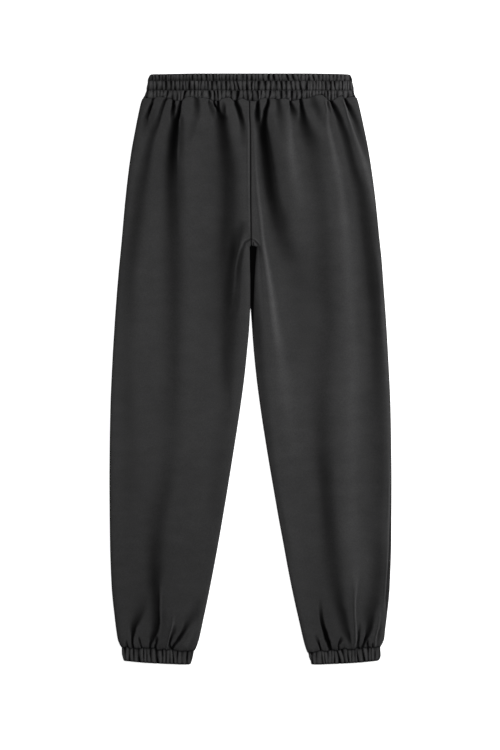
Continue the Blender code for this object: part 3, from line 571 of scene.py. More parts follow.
panelLook = dict(
    # steps over the outer roll, across the middle and over the inner roll, and (drop, step) down the leg
    frontColumns=(10, 176, 8),
    backColumns=(8, 76, 6),
    frontPitches=[
        (45, 0.5), (49, 0.8), (60, 1), (100, 1.4), (160, 2.4), (230, 2.8), (275, 1.6), (283, 0.9),
        (300, 0.9), (330, 2.5), (420, 4.5), (860, 4.5), (920, 2.2), (960, 1.2), (994, 0.9),
    ],
    backPitches=[
        (45, 1.6), (100, 2.6), (200, 4.5), (280, 4), (300, 2), (400, 4), (860, 7), (940, 3), (994, 1.6),
    ],
    seamDip=1.8,  # how far the gathered seams draw the cloth down
    seamReach=1,
    paintedSeamShading=(-0.8, 0.3),  # painted highlight on the puffs that stand up at the waist seam, and painted shade on the cuff seams
    riseDip=1.5,  # the same along the front rise seam
    riseReach=0.95,
    # painted shade along the rise seam
    riseShade=4,
    backSeamLift=0.9,  # how far the seams draw the ground side of the backs up
    backRiseLift=0.7,
    # painted shade in the grooves on the backs' ground side, by how far they lift
    backShade=1.2,
    puckerShade=4,  # small puckers above the cuffs, drawn only as painted shade
    puckerReach=4.5,
    puckerSpan=240,
    puckerSeed=5,
    seamLean=0.6,  # the rise seam's two edges meet at a slant
    leanFade=(280, 296),
    edgeShades=(0.42, 0.9),  # painted shade on the rolled edges, heavier on the edge that faces -x, away from the side lamp
    # painted near-black shade on the backs' inner skin, which shows in the shaded slot between the fronts
    insideShade=0.02,
    outseamTurn=[
        (640, 0), (700, 0.62), (745, 0.7), (790, 0.93), (840, 1.05), (875, 1.15), (900, 1.15), (918, 0.85),
        (935, 0),
    ],
    turnedTone=0.5,  # the strip of the back that the turn brings up lies in the shade of the seam
)


def turnedOutseam(leg, drop):
    # how far over the edge the back wraps, as an angle
    return float(through(panelLook["outseamTurn"], drop)) if leg == "left" else 0


def spacedRows(start, end, pitches):
    # row drops from start to end, each step as long as the (drop, pitch) table says there
    rows = [start]
    places, steps = np.array(pitches, float).T
    while rows[-1] < end or len(rows) % 2 == 0:
        rows.append(rows[-1] + np.interp(rows[-1], places, steps))
    rows = np.array(rows)
    return start + (rows - start) * (end - start) / (rows[-1] - start)


def panelColumns(width, rolls, turnStart, turnEnd, counts):
    # distance from the outer edge and share of the rise of each column
    outerSteps, middleSteps, innerSteps = counts
    outerRoll, innerRoll = rolls
    quarter = math.pi / 2
    angle = lerp(turnStart, quarter, np.linspace(0, 1, outerSteps + 1)[:-1])
    back = lerp(quarter, 0, np.linspace(0, 1, innerSteps + 1)[1:])
    middle = lerp(outerRoll, width - innerRoll, np.linspace(0, 1, middleSteps + 1))
    flat = innerRoll * back / quarter
    rolled = innerRoll * (1 - np.cos(back))
    inward = lerp(flat, rolled, turnEnd)
    distance = np.concatenate([outerRoll * (1 - np.cos(angle)), middle, width - inward])
    share = np.concatenate([np.sin(angle), np.ones(len(middle)), lerp(1, np.sin(back), turnEnd)])
    return distance, share


def panelGrid(leg, face):
    # the row drops, and for the outer and the inner skin each point's x, share of the rise and edge height
    front = face == "front"
    side = sides[leg]
    wall, gap = fleece["wall"], fleece["gap"]
    counts = panelLook[face + "Columns"]
    rows = spacedRows(fleece["seamDrop"], fleece["cuffDrop"], panelLook[face + "Pitches"])
    skins = []
    for inset in (0, wall):
        xs, shares, edgeHeights = [], [], []
        for drop in rows:
            outer = float(through(legOutline["outer"][leg], drop))
            width = outer - float(side * innerEdge(leg, face, drop))
            seamHeight = (pile + float(legLoft(drop))) / 2
            turn = turnedOutseam(leg, drop) * (1 if front else -1)
            parted = float(easeOver(drop, fleece["backTurn"]))
            turnEnd = float(easeOver(drop, fleece["frontTurn"])) if front else parted
            innerHeight = lerp(wall + gap, seamHeight + gap / 2, parted) if front else seamHeight - gap / 2
            rolls = [float(through(legOutline[roll], drop)) - inset for roll in ("outerRoll", "innerRoll")]
            distance, share = panelColumns(
                width - 2 * inset, rolls, turn + gap / 2 / seamHeight, turnEnd, counts)
            distance = distance + inset
            if turnEnd < 1:  # a butted edge isn't drawn in by the wall
                last = counts[2]
                butted = 1 - np.linspace(0, 1, last + 1)[1:]
                distance[-last:] = lerp(width - (rolls[1] + inset) * butted, distance[-last:], turnEnd)
            xs.append(side * (outer - distance))
            shares.append(share)
            edge = np.full(len(distance), seamHeight)
            edge[len(distance) // 2:] = innerHeight
            edgeHeights.append(edge)
        skins.append([np.array(part) for part in (xs, shares, edgeHeights)])
    return rows, skins


def panelDrops(leg, face, x, rows):
    # a row's drop, bent to the scallops of the nearest gathered seam
    drop = np.repeat(rows[:, None], x.shape[1], axis=1)
    seamDrop, cuffDrop, fade = fleece["seamDrop"], fleece["cuffDrop"], fleece["scallopFade"]
    gap = fleece["gap"] / 2
    nearWaist = 1 - ease((drop - seamDrop) / fade)
    nearCuff = 1 - ease((cuffDrop - drop) / fade)
    bent = drop + (gatheredSeam("waist", face, leg, x) + gap - seamDrop) * nearWaist
    return bent + (gatheredSeam("cuff", face, leg, x) - gap - cuffDrop) * nearCuff


def frontRelief(x, drop, fromCuff, seam, rise):
    # height of the front's outer surface, and the painted shade of each point: darker in folds, along the
    # rise seam, in the puckers and at the cuff seams, with a painted highlight on ridges and at the waist
    # seam
    look = panelLook
    loft = legLoft(drop)
    fold = foldField(x, drop, frontFolds)
    dip = look["seamDip"] * seam
    riseDip = look["riseDip"] * rise * (drop < fleece["frontTurn"][1])
    ground = backLift(x, drop) + pile
    level = ground + softFloor(pile + loft - fold - dip - riseDip - ground)
    pucker = pinchesAt(x, 0, look["puckerSpan"], look["puckerSeed"]) * bell(fromCuff, look["puckerReach"])
    # painted highlight at the waist seam, painted shade at the cuff seams
    seamShading = np.where(drop < length / 2, *look["paintedSeamShading"])
    return level, fold + seamShading * dip + look["riseShade"] * riseDip + look["puckerShade"] * pucker


def makePanel(leg, face, material):
    look = panelLook
    wall = fleece["wall"]
    rows, skins = panelGrid(leg, face)
    points, paintedShades, weaves = [], [], []
    for skin, inset in zip(skins, (0, wall)):
        every = 2 if inset else 1  # the inner skin has half the rows and columns
        x, share, edge = (part[::every, ::every] for part in skin)
        drop = panelDrops(leg, face, x, rows[::every])
        fromWaist = drop - gatheredSeam("waist", face, leg, x)
        fromCuff = gatheredSeam("cuff", face, leg, x) - drop
        seam = bell(np.minimum(fromWaist, fromCuff), look["seamReach"])
        rise = bell(np.abs(x - innerEdge(leg, face, drop)), look["riseReach"])
        outer, inner = (through(legOutline[line][leg], drop) for line in ("outer", "inner"))
        across = x - sides[leg] * (outer + inner) / 2
        lean = look["seamLean"] * rise * (1 - easeOver(drop, fleece["backTurn"])) * (1 if inset else -1)
        if face == "front":
            if not inset:
                level, hollow = frontRelief(x, drop, fromCuff, seam, rise)
            top = level[::every, ::every] - inset
            z = edge + (top - edge) * share
            lean = lean * (1 - easeOver(drop, look["leanFade"]))
            # painted shade on the rolled edges, heavier on the side away from the side lamp
            shade = lerp(np.where(across < 0, *look["edgeShades"]), 1, ease(share))
        else:
            lift = backLift(x, drop) + look["backSeamLift"] * seam
            lift = lift + look["backRiseLift"] * rise * (drop < fleece["backTurn"][0])
            # painted shade in the lifted grooves
            hollow = look["backShade"] * lift
            crown = pile + legLoft(drop) - inset
            z = np.where(share >= 0, edge + (lift + inset - edge) * share, edge - (crown - edge) * share)
            turned = ease(-3 * share) if leg == "left" else 0
            # painted near-black shade on the inner skin, and the seam's painted shade on the turned strip
            shade = look["insideShade"] if inset else lerp(1, look["turnedTone"], turned)
        points.append(np.stack([x + lean, topEdge - drop, z], axis=-1).reshape(-1, 3))
        # painted shade and highlights of each point
        paintedShades.append((paintedShading(hollow if face == "back" else hollow[::every, ::every]) * shade).ravel())
        weaves.append(np.stack([across, -drop], axis=-1).reshape(-1, 2))
    piece = addPiece(
        f"{face}_{leg}_cloth", np.concatenate(points), wallFaces(skins[0][0].shape), np.concatenate(weaves),
        material, np.concatenate(paintedShades))
    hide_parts(f"{face}_{leg}")
    return piece


# A band is a flattened tube of gathered cloth, one channel of it between each two rows of stitches.
gathering = dict(
    lipRows=7,  # over the folded edge
    insideRows=4,
    insideBulge=0.6,
    edgeBulge=0.82,  # a band is a little less full at its folded edge
    shallow=0.34,  # how deep the gathers still are where a row of stitches flattens them
    insideEase=0.55,  # how much of a gather's depth is lost on the inside
    lipEase=0.5,  # the same on the folded edge
    underDepth=1.5,  # depth of the gathers on the underside
    edgeScallop=0.1,
    margin=3,  # chance gathers start this far past the placed ones
    hiddenSpacing=(5, 10.5),
    hiddenMargin=4,  # and stop this far short of hiddenGirth
    hiddenDepth=(0.5, 1.3),
    hiddenSlant=1.5,
    bow=0.8,
    waver=0.35,  # how much a gather's depth varies along it
    lean=0.35,  # how far a puff's crest lies off its middle
    puffPower=2.5,  # higher makes puffs flatter and creases narrower
    puffWidth=8,  # narrower puffs have shallower gathers
    leastSlack=0.35,
    bulgePower=2.6,  # higher makes a channel flatter between its stitches
    linePower=9,  # higher makes the painted dark lines at the stitches and the folded edge narrower
    tonePower=1.4,
    fullTone=0.25,  # a full puff catches this share more light
    puffReach=1.5,  # higher keeps the painted highlight nearer to the crest
    shadePower=1.5,
    lampSide=0.25,  # the lines of the channel edges that face the lamp are fainter
)

waistband = dict(
    outline={  # (drop, distance from the centre line)
        "right": [
            (0, 175.2), (2.2, 176), (4.3, 176.6), (7.8, 177.3), (11.2, 177.6), (18.1, 178.5), (25, 179.8),
            (28.5, 179.9), (32, 180.6), (35.4, 181.9), (38.9, 183), (42.3, 185.2), (49, 187.4),
        ],
        "left": [
            (0, 173.6), (2.2, 174.4), (4.3, 175.1), (7.8, 175.8), (11.2, 176.1), (18.1, 177.1), (25, 178.5),
            (28.5, 178.7), (32, 179.1), (35.4, 179.6), (38.9, 180.4), (42.3, 181.8), (49, 184.4),
        ],
    },
    foldedEdge=[  # (x, drop) of the top edge
        (-176, 2.8), (-173, 1.7), (-169, 1.2), (-148, 0.9), (-128, 0.4), (-86, -0.2), (88, -0.2),
        (141, 0.5), (162, 1.1), (173, 1.9), (176, 3.4),
    ],
    stitchDrops=(12.5, 29),
    wall=5,
    thickness=10.9,  # at the stitched rows
    bulge=2.9,  # how much fuller the channels are between them
    gather=2.9,
    pinch=0.5,
    creaseShade=12,  # how much more painted shade a crease gets than a puff
    # painted highlight on the puffs, and painted shade along the stitches and in their pinches
    puffHighlight=2,
    stitchShade=4.5,
    pinchShade=4.5,
    lipShade=0.2,  # painted shade on the folded edge
    topColumns=600,
    endColumns=14,
    underColumns=240,
    channelRows=(11, 15, 17),
    # gathers along each channel: (x, depth), or (x at its upper end, x at its lower end, depth)
    gathers=[
        [
            (-168.5, 0.6), (-165, 0.6), (-157, 1), (-152, 0.6), (-146, 1), (-141.5, 0.6), (-137.5, 1),
            (-133, 0.4), (-129, 0.6), (-122.5, 0.6), (-116, 0.6), (-110.5, 0.6), (-104.5, 0.6), (-101, 1),
            (-91.5, 0.6), (-85.5, -84, 1.1), (-76, 1), (-71, 0.5), (-65, 1.2), (-59.5, 0.6),
            (-54.5, -53, 1.3), (-50, 0.4), (-43, 0.7), (-36, 0.6), (-29.5, 0.7), (-23.5, -24, 1.2),
            (-13, 0.5), (-7, 1.4), (2, 0.8), (8.5, 0.5), (13, 0.6), (21, 22.5, 0.7), (32, 1.2),
            (39, 41.5, 1.2), (48.5, 50, 0.7), (53.5, 0.4), (63, 66.5, 1.3), (72.5, 76, 0.9), (81, 83, 0.6),
            (87, 0.6), (95, 0.6), (99.5, 100, 1), (107, 110.5, 1), (117.5, 0.6), (124.5, 1), (129.5, 0.5),
            (136.5, 0.7), (142.5, 0.6), (148.5, 0.7), (155.5, 0.6), (162.5, 0.6),
        ],
        [
            (-167, 0.6), (-163, 0.6), (-152, 0.7), (-146.5, 1), (-137.5, 1), (-130.5, 1), (-122, 0.6),
            (-116.5, 1), (-111.5, 0.6), (-106, 1), (-96, 1), (-89, 0.6), (-84.5, -87, 0.7), (-78.5, 0.5),
            (-74, 1.1), (-66.5, 1.4), (-59, -57, 0.7), (-51, 0.6), (-42.5, 1.2), (-36, 0.6),
            (-29.5, -27, 1), (-23.5, -19, 1.2), (-14, 0.5), (-7, 1.1), (2.5, 1.1), (7, 0.6), (13, 1),
            (25, 26, 1.2), (34.5, 1), (44, 0.8), (52, 54.5, 1.2), (62, 1), (70, 72.5, 1.1), (76, 78, 0.6),
            (85.5, 88, 1.2), (97.5, 1), (102, 0.5), (107, 0.5), (112.5, 1), (117, 0.4), (122, 0.6),
            (129, 1), (138, 1.4), (144, 147, 1.1), (152.5, 0.5), (158, 1.4), (162.5, 0.5), (167, 0.7),
            (171, 0.6),
        ],
        [
            (-167.5, 0.6), (-161.5, 0.6), (-156, -156.5, 0.5), (-150, -151.5, 0.6), (-141.5, -145, 1.1),
            (-135, 0.6), (-127, 0.6), (-121, 0.6), (-111.5, -116, 1.4), (-103.5, 0.6), (-97, 0.6),
            (-90, 0.6), (-84, 0.5), (-71, -70, 1), (-63, 1.1), (-58, -56, 1), (-50, 0.6), (-43, 0.5),
            (-33, 1.1), (-21, -24, 1.2), (-12, 0.6), (-7, -4.5, 0.7), (2.5, 1.1), (12, 14, 1.1),
            (19, 16.5, 0.8), (25, 0.5), (34.5, 31, 1.4), (43, 0.5), (53, 1), (62, 0.6), (71, 1.4),
            (79.5, 0.6), (88, 1.1), (97, 0.6), (101, 0.8), (106, 0.6), (112, 0.5), (117, 0.6), (122.5, 0.6),
            (128, 0.8), (133, 1), (138, 1), (145, 0.6), (148.5, 0.6), (159, 0.6), (167.5, 0.6),
        ],
    ],
    hiddenGirth=420,  # underside, where the gathers are left to chance
    # (x, extra hollow at a channel's upper edge, the same at its lower one): what the side lamp leaves dark
    channelShade=[
        [(-170, 1.8, 3.3), (-120, 0.8, 3.2), (-85, 0.5, 2.8), (-30, 0.5, 2), (30, 0.4, 1.6), (90, 0, 0.6),
         (150, 0.5, 0)],
        [(-170, -0.2, 1.2), (-85, -0.3, 1.9), (-30, 0, 0.2), (30, -0.2, 0), (90, 0.2, -0.3),
         (150, 0.1, -1)],
        [(-170, 0, 0), (60, 0, 0), (150, -0.3, 0)],
    ],
    seed=7,
)

cuffs = dict(
    outer={
        "right": [
            (988, 223.3), (993, 223), (999.6, 222.8), (1006, 222.6), (1010, 221.8), (1013, 221.1),
            (1017, 219.3),
        ],
        "left": [
            (988, 224.8), (993, 224.5), (999.6, 224.7), (1006, 225.2), (1010, 225.2), (1013, 224.4),
            (1017, 222),
        ],
    },
    inner={
        "right": [(990, 96), (996, 97.4), (999.6, 97.9), (1006, 98.8), (1013, 101.2), (1020, 103.4)],
        "left": [(990, 96.6), (996, 99.5), (999.6, 100.3), (1006, 101.2), (1013, 103.4), (1020, 104.9)],
    },
    hem=[
        (102, 1018), (106.5, 1019.3), (118, 1019.3), (135, 1018.7), (150, 1018.1), (172, 1017),
        (190, 1015.8), (206, 1014.2), (214, 1013.4), (222, 1012.4),
    ],
    edgeDrops=(1016, 994),  # the hem and the seam on average
    wall=4,
    thickness=9,
    bulge=2.2,
    gather=2.8,
    pinch=0.4,
    # painted shade in the creases, along the stitches, in the pinches and on the hem's fold, and a painted
    # highlight on the puffs
    creaseShade=10,
    puffHighlight=1.2,
    stitchShade=4,
    pinchShade=3.5,
    lipShade=2.5,
    topColumns=260,
    endColumns=12,
    underColumns=92,
    channelRows=(18,),
    gathers={
        "right": [
            (-208.5, 1), (-201.5, 1), (-193.5, -192, 1), (-184, 1), (-179, 0.6), (-173, -171, 1),
            (-163, -160, 1.4), (-152, 1), (-146, 1), (-139, 0.6), (-135, -133, 1), (-125.5, -127, 1),
            (-118.5, 0.5),
        ],
        "left": [
            (113, 0.5), (122.5, 124.5, 0.6), (127, 129.5, 1), (133, 0.6), (140, 0.6), (144, 1),
            (148.5, 154, 1.4), (156.5, 162.5, 1), (167.5, 169.5, 1), (174.5, 0.6), (180, 0.6),
            (183, 185, 1), (192, 197, 1.4), (203, 1), (208, 1), (214, 0.6),
        ],
    },
    hiddenGirth=170,
    seed=21,
)


def hiddenGathers(rng, girth):
    # gathers where none is listed: their ends, as shares of that girth, and their depths
    closest, widest = gathering["hiddenSpacing"]
    slant = gathering["hiddenSlant"] / girth
    depths = gathering["hiddenDepth"]
    places = np.cumsum(rng.uniform(closest, widest, int(girth / closest)))
    places = places[places < girth - gathering["hiddenMargin"]] / girth
    return [(place, place + rng.uniform(-slant, slant), rng.uniform(*depths)) for place in places]


def gathersAt(q, share, placed, hidden, period, seed):
    # How deep the gathers are at q, which runs round the ring from its -x end over the top, from 0 on
    # a puff's crest, and how full the puff is. Each gather bows a little, and each puff leans its own way.
    rng = np.random.default_rng(seed)
    start, end = placed[0][0] - gathering["margin"], placed[-1][0] + gathering["margin"]
    loose = period - (end - start)
    at = [lerp(a, b, share) for a, b, _ in placed]
    at += [end + lerp(a, b, share) * loose for a, b, _ in hidden]
    depth = np.array([row[2] for row in placed + hidden])
    bow, swing, skew, full = rng.uniform(-1, 1, (4, len(at)))
    at = np.array(at) + gathering["bow"] * bow * math.sin(math.pi * share)
    depth = depth * (1 + gathering["waver"] * np.sin(math.pi * (1.5 * share + swing)))
    order = np.argsort(at)
    order = np.concatenate([order[-1:], order, order[:1]])
    at, depth, skew, full = at[order], depth[order], skew[order], full[order]
    at[0] -= period
    at[-1] += period
    k = np.clip(np.searchsorted(at, q, side="right") - 1, 0, len(at) - 2)
    span = at[k + 1] - at[k]
    u = np.clip((q - at[k]) / span, 0, 1) ** np.exp(gathering["lean"] * skew[k])
    slack = np.sqrt(np.clip(span / gathering["puffWidth"], gathering["leastSlack"], 1))
    crease = np.abs(2 * u - 1) ** gathering["puffPower"]
    return crease * lerp(depth[k], depth[k + 1], ease(u)) * slack, full[k]


def ringRows(channelRows):
    # (channel, share along it, share of the way over the folded edge, inside or not) of each row: up the
    # outside, over the folded edge and down the inside
    lipRows, insideRows = gathering["lipRows"], gathering["insideRows"]
    rows = []
    for channel in reversed(range(len(channelRows))):
        steps = channelRows[channel]
        rows += [(channel, step / steps, 0, False) for step in range(steps, 0, -1)]
    rows += [(0, 0, step / lipRows, False) for step in range(lipRows + 1)]
    return rows + [(0, step / insideRows, 1, True) for step in range(1, insideRows + 1)]


def ringSection(look, left, right, radius, depthIn):
    # x, z and way round of each point of one row, how far it faces up, and the girth there
    top, end, under = look["topColumns"], look["endColumns"], look["underColumns"]
    flatLeft, flatRight = left + radius, right - radius
    flat = flatRight - flatLeft
    t = np.linspace(0, 1, top + 1)
    u = np.linspace(0, 1, under + 1)[1:]
    bend = np.linspace(0, math.pi, end + 1)[1:]
    bendBack = np.linspace(math.pi, 2 * math.pi, end + 1)[1:-1]
    up = np.concatenate([np.ones(top + 1), np.cos(bend), -np.ones(under), np.cos(bendBack)])
    x = np.concatenate([
        lerp(flatLeft, flatRight, t), flatRight + (radius - depthIn) * np.sin(bend),
        lerp(flatRight, flatLeft, u), flatLeft + (radius - depthIn) * np.sin(bendBack),
    ])
    q = np.concatenate([
        lerp(flatLeft, flatRight, t), flatRight + radius * bend,
        flatRight + math.pi * radius + flat * u, flatRight + flat + radius * bendBack,
    ])
    return x, radius + (radius - depthIn) * up, q, up, 2 * flat + 2 * math.pi * radius


def channelBulge(channels, channel, share, onInside):
    # how full a channel is, 0 where stitches hold it down
    if onInside:
        return gathering["insideBulge"]
    if channel:
        return 1 - abs(2 * share - 1) ** gathering["bulgePower"]
    bulge = 1 - (share ** 3 if channels > 1 else max(0, 2 * share - 1) ** gathering["bulgePower"])
    return bulge * lerp(gathering["edgeBulge"], 1, ease(share / 0.3))


def channelLines(look, channels, channel, share, onInside):
    # extra painted shade along the rows of stitches and on the folded edge
    if onInside:
        return 0
    toEdge = abs(2 * share - 1) if channel else max(0, 2 * share - 1)
    lines = look["stitchShade"] * toEdge ** gathering["linePower"]
    if channels > 1 and (share < 0.5 or channel == channels - 1):
        lines *= gathering["lampSide"]
    if channel == 0:
        lines += look["lipShade"] * max(0, 1 - gathering["linePower"] * share)
    return lines


def makeRing(name, look, placed, ends, edgeAt, seamAt, drops, seed, flip, material):
    # ends gives the ring's two x ends at a drop, edgeAt and seamAt the drops of its folded edge and of
    # its seam at an x, and drops those of the channels' edges. A flipped ring has its folded edge below.
    rng = np.random.default_rng(seed)
    wall = look["wall"]
    lip = wall / 2
    channels = len(look["channelRows"])
    placed = [[(row[0], row[-2], row[-1]) for row in channel] for channel in placed]
    hidden = [hiddenGathers(rng, look["hiddenGirth"]) for _ in range(channels)]
    points, hollows, weaves, girths, stitched = [], [], [], [], []
    for channel, share, inset, onInside in ringRows(look["channelRows"]):
        upper, lower = drops[channel:channel + 2]
        left, right = ends(lerp(drops[0], drops[-1], share) if onInside else lerp(upper, lower, share))
        bulge = channelBulge(channels, channel, share, onInside)
        over = inset * math.pi
        depthIn = lip * (1 - math.cos(over))
        x, z, q, up, period = ringSection(
            look, left, right, (look["thickness"] + look["bulge"] * bulge) / 2, depthIn)
        dip, full = gathersAt(
            q, 0.5 if onInside else share, placed[channel], hidden[channel], period, seed + channel)
        pinches = share ** 2 * pinchesAt(q, q[0], period, seed + channel + 11)
        if channel:
            pinches = pinches + (1 - share) ** 2 * pinchesAt(q, q[0], period, seed + channel + 10)
        eased = gathering["insideEase"] * depthIn / wall + gathering["lipEase"] * math.sin(over)
        pinch = lerp(gathering["shallow"], 1, bulge)
        topDepth = look["gather"] * pinch * (1 - eased)
        underDepth = gathering["underDepth"] * pinch * (1 - depthIn / wall)
        depth = np.where(up > 0, topDepth, lerp(topDepth, underDepth, -up))
        dent = depth * dip + look["pinch"] * pinches * (inset == 0)
        x = x - dent * np.sqrt(1 - up ** 2) * np.sign(x - (left + right) / 2)
        topShare = (up + 1) / 2
        foldedEdge = edgeAt(x) + gathering["edgeScallop"] * dip
        if onInside:
            drop = lerp(foldedEdge + lip, seamAt(x, topShare), share)
        elif inset:
            drop = foldedEdge + lip * (1 - math.sin(over))
        else:
            upper = upper if channel else foldedEdge + lip
            lower = lower if channel < channels - 1 else seamAt(x, topShare)
            drop = lerp(upper, lower, share) + np.zeros(len(x))
        points.append(np.column_stack([x, topEdge + (drop if flip else -drop), z - dent * up]))
        if share == 1 and channel < channels - 1 and not onInside:
            stitched.append(points[-1])
        # painted highlight on the puffs' crests, and painted shade in the creases and the pinches
        crest = np.clip(1 - gathering["puffReach"] * dip, 0, 1)
        crestHighlight = look["puffHighlight"] * (1 + gathering["fullTone"] * full) * crest
        hollow = look["creaseShade"] * dip ** gathering["tonePower"] - crestHighlight + look["pinchShade"] * pinches
        hollow = hollow + channelLines(look, channels, channel, share, onInside)
        if "channelShade" in look and not onInside:
            places, upperShade, lowerShade = np.array(look["channelShade"][channel]).T
            upperShade, lowerShade = (np.interp(x, places, shade) for shade in (upperShade, lowerShade))
            hollow = hollow + topShare * lerp(upperShade, lowerShade, share ** gathering["shadePower"])
        hollows.append(hollow)
        weaves.append(np.column_stack([q, -drop]))
        girths.append(np.full(len(q), period))
    ids = np.arange(len(points) * len(x)).reshape(len(points), len(x))
    ids = np.vstack([ids, ids[:1]])
    ids = np.column_stack([ids, ids[:, :1]])
    piece = addPiece(
        name, np.concatenate(points), gridFaces(ids), np.concatenate(weaves), material,
        paintedShading(np.concatenate(hollows)), np.concatenate(girths))
    return piece, stitched


def makeWaistband(material):
    look = waistband

    def ends(drop):
        return [sides[leg] * float(through(look["outline"][leg], drop)) for leg in sides]

    def edgeAt(x):
        return through(look["foldedEdge"], x)

    def seamAt(x, topShare):
        back, front = (gatheredSeam("waist", face, None, x) for face in ("back", "front"))
        return lerp(back, front, topShare) - fleece["gap"] / 2

    drops = (0, *look["stitchDrops"], fleece["seamDrop"])
    piece, stitched = makeRing(
        "waistband_casing", look, look["gathers"], ends, edgeAt, seamAt, drops, look["seed"], False,
        material)
    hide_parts("waistband")
    return piece, stitched


def makeCuff(leg, material):
    # A ring that hangs the other way up, with the hem for its folded edge. It is made with negative drops.
    look = cuffs

    def ends(drop):
        return sorted(sides[leg] * float(through(look[edge][leg], -drop)) for edge in ("outer", "inner"))

    def hemAt(x):
        return -through(look["hem"], np.abs(x))

    def seamAt(x, topShare):
        back, front = (gatheredSeam("cuff", face, leg, x) for face in ("back", "front"))
        return -lerp(back, front, topShare) - fleece["gap"] / 2

    drops = [-drop for drop in look["edgeDrops"]]
    gathers = [(row[-2], row[0], row[-1]) for row in look["gathers"][leg]]
    piece, _ = makeRing(
        f"cuff_{leg}_casing", look, [gathers], ends, hemAt, seamAt, drops, look["seed"] + sides[leg], True,
        material)
    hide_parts(f"cuff_{leg}")
    return piece


thread = dict(
    thickness=0.5,
    stitch=2.5,
    pitch=3.3,
    sides=6,
    sink=0.1,
    # (share of a stitch, share of the radius)
    profile=[(0, 0.25), (0.08, 0.8), (0.3, 1), (0.7, 1), (0.92, 0.8), (1, 0.25)],
    bandEnd=168,  # beyond this x a line turns round the band's end
    endFacing=(0.7, 0.3),  # outwards and up or down there
    middleHeight=6,
    glance=0.4,  # how far ahead a stitch takes its direction from
)


def spotAlong(line, reach, at):
    return np.array([np.interp(at, reach, line[:, k]) for k in range(3)])


def stitchFacing(spot, middle):
    # roughly which way the band's surface faces at a stitch
    up = spot[2] > thread["middleHeight"]
    if abs(spot[0] - middle) > thread["bandEnd"]:
        out, over = thread["endFacing"]
        return np.array([np.sign(spot[0]) * out, 0, over if up else -over])
    return np.array([0, 0, 1 if up else -1])


def makeStitches(name, lines, material):
    # straight stitches along each line, lying in the groove that they pull
    points, faces = [], []
    radius = thread["thickness"] / 2
    around = np.linspace(0, 2 * math.pi, thread["sides"], endpoint=False)
    for line in lines:
        closed = np.vstack([line, line[:1]])
        reach = np.concatenate([[0], np.cumsum(np.linalg.norm(np.diff(closed, axis=0), axis=1))])
        middle = closed[:, 0].mean()
        for start in np.arange(0, reach[-1] - thread["pitch"], thread["pitch"]):
            first = len(points)
            for along, size in thread["profile"]:
                at = start + along * thread["stitch"]
                spot = spotAlong(closed, reach, at)
                ahead = spotAlong(closed, reach, at + thread["glance"])
                forward = (ahead - spot) / max(np.linalg.norm(ahead - spot), 1e-6)
                outward = np.array([-forward[2], 0, forward[0]])
                outward *= np.sign(outward @ stitchFacing(spot, middle)) or 1
                across = np.cross(forward, outward)
                centre = spot + outward * (radius - thread["sink"])
                for angle in around:
                    spoke = math.cos(angle) * outward + math.sin(angle) * across
                    points.append(centre + radius * size * spoke)
            ids = first + np.arange(len(thread["profile"]) * len(around)).reshape(-1, len(around))
            ids = np.column_stack([ids, ids[:, :1]])
            faces += gridFaces(ids)
            faces += [ids[0, :-1].tolist(), ids[-1, :-1].tolist()[::-1]]
    points = np.array(points)
    piece = addPiece(name, points, faces, points[:, :2], material)
    return piece


def addNode(tree, kind, inputs=None, **settings):
    node = tree.nodes.new(kind)
    for key, value in settings.items():
        setattr(node, key, value)
    for key, value in (inputs or {}).items():
        if isinstance(value, bpy.types.NodeSocket):
            tree.links.new(value, node.inputs[key])
        else:
            node.inputs[key].default_value = value
    return node


def calc(tree, operation, a, b=None, c=None):
    inputs = {k: v for k, v in enumerate((a, b, c)) if v is not None}
    return addNode(tree, "ShaderNodeMath", inputs, operation=operation).outputs[0]


def noise(tree, vector, scale, detail, roughness):
    inputs = {"Vector": vector, "Scale": scale, "Detail": detail, "Roughness": roughness}
    return addNode(tree, "ShaderNodeTexNoise", inputs).outputs[0]


def stretched(tree, vector, scale):
    return addNode(tree, "ShaderNodeMapping", {"Vector": vector, "Scale": scale}).outputs[0]


def spread(tree, value, amount):
    # a 0 to 1 value turned into one that lies so far about 1
    return calc(tree, "MULTIPLY_ADD", value, 2 * amount, 1 - amount)


def newMaterial(name):
    material = bpy.data.materials.new(name)
    material.use_nodes = True
    tree = material.node_tree
    return material, tree, tree.nodes["Principled BSDF"]


def colourBy(tree, shader, colour, shade):
    scaled = addNode(tree, "ShaderNodeVectorMath", {0: colour, "Scale": shade}, operation="SCALE")
    tree.links.new(scaled.outputs[0], shader.inputs["Base Color"])


knitLooks = {
    "fleece": dict(
        colour=(0.0355, 0.0353, 0.0358), cloud=0.16, streaks=0.16, grain=0.42, heather=0.14, roughness=0.93,
        walePitch=0.00085, coursePitch=0.00065, knitBump=0.35, napBump=0.5,
    ),
    "casing": dict(
        colour=(0.0328, 0.0326, 0.0331), cloud=0.10, streaks=0.1, grain=0.4, heather=0.14, roughness=0.92,
        walePitch=0.00080, coursePitch=0.00065, knitBump=0.45, napBump=0.4,
    ),
}

nap = dict(
    cloud=(9, 3, 0.55),  # noise scale, detail and roughness: slow drifts of tone
    mottle=(60, 4, 0.6),
    streaks=(1, 4, 0.6),
    streakScale=(22, 50, 22),
    grain=(430, 4, 0.75),  # single tufts
    fibre=(1, 2, 0.6),  # heather along the wales
    fibreScale=(2600, 500, 1),
    sheen=0.015,
    sheenRoughness=0.5,
    sheenTint=(0.9, 0.92, 1, 1),
    specular=0.025,
    knitHeight=0.00018,
    napHeight=0.00035,
    fibreHeight=0.6,  # of a tuft's
    vLean=1.3,
    courseDepth=0.35,
    knitTone=(0.05, 0.97),
    roughnessDrift=0.05,
)


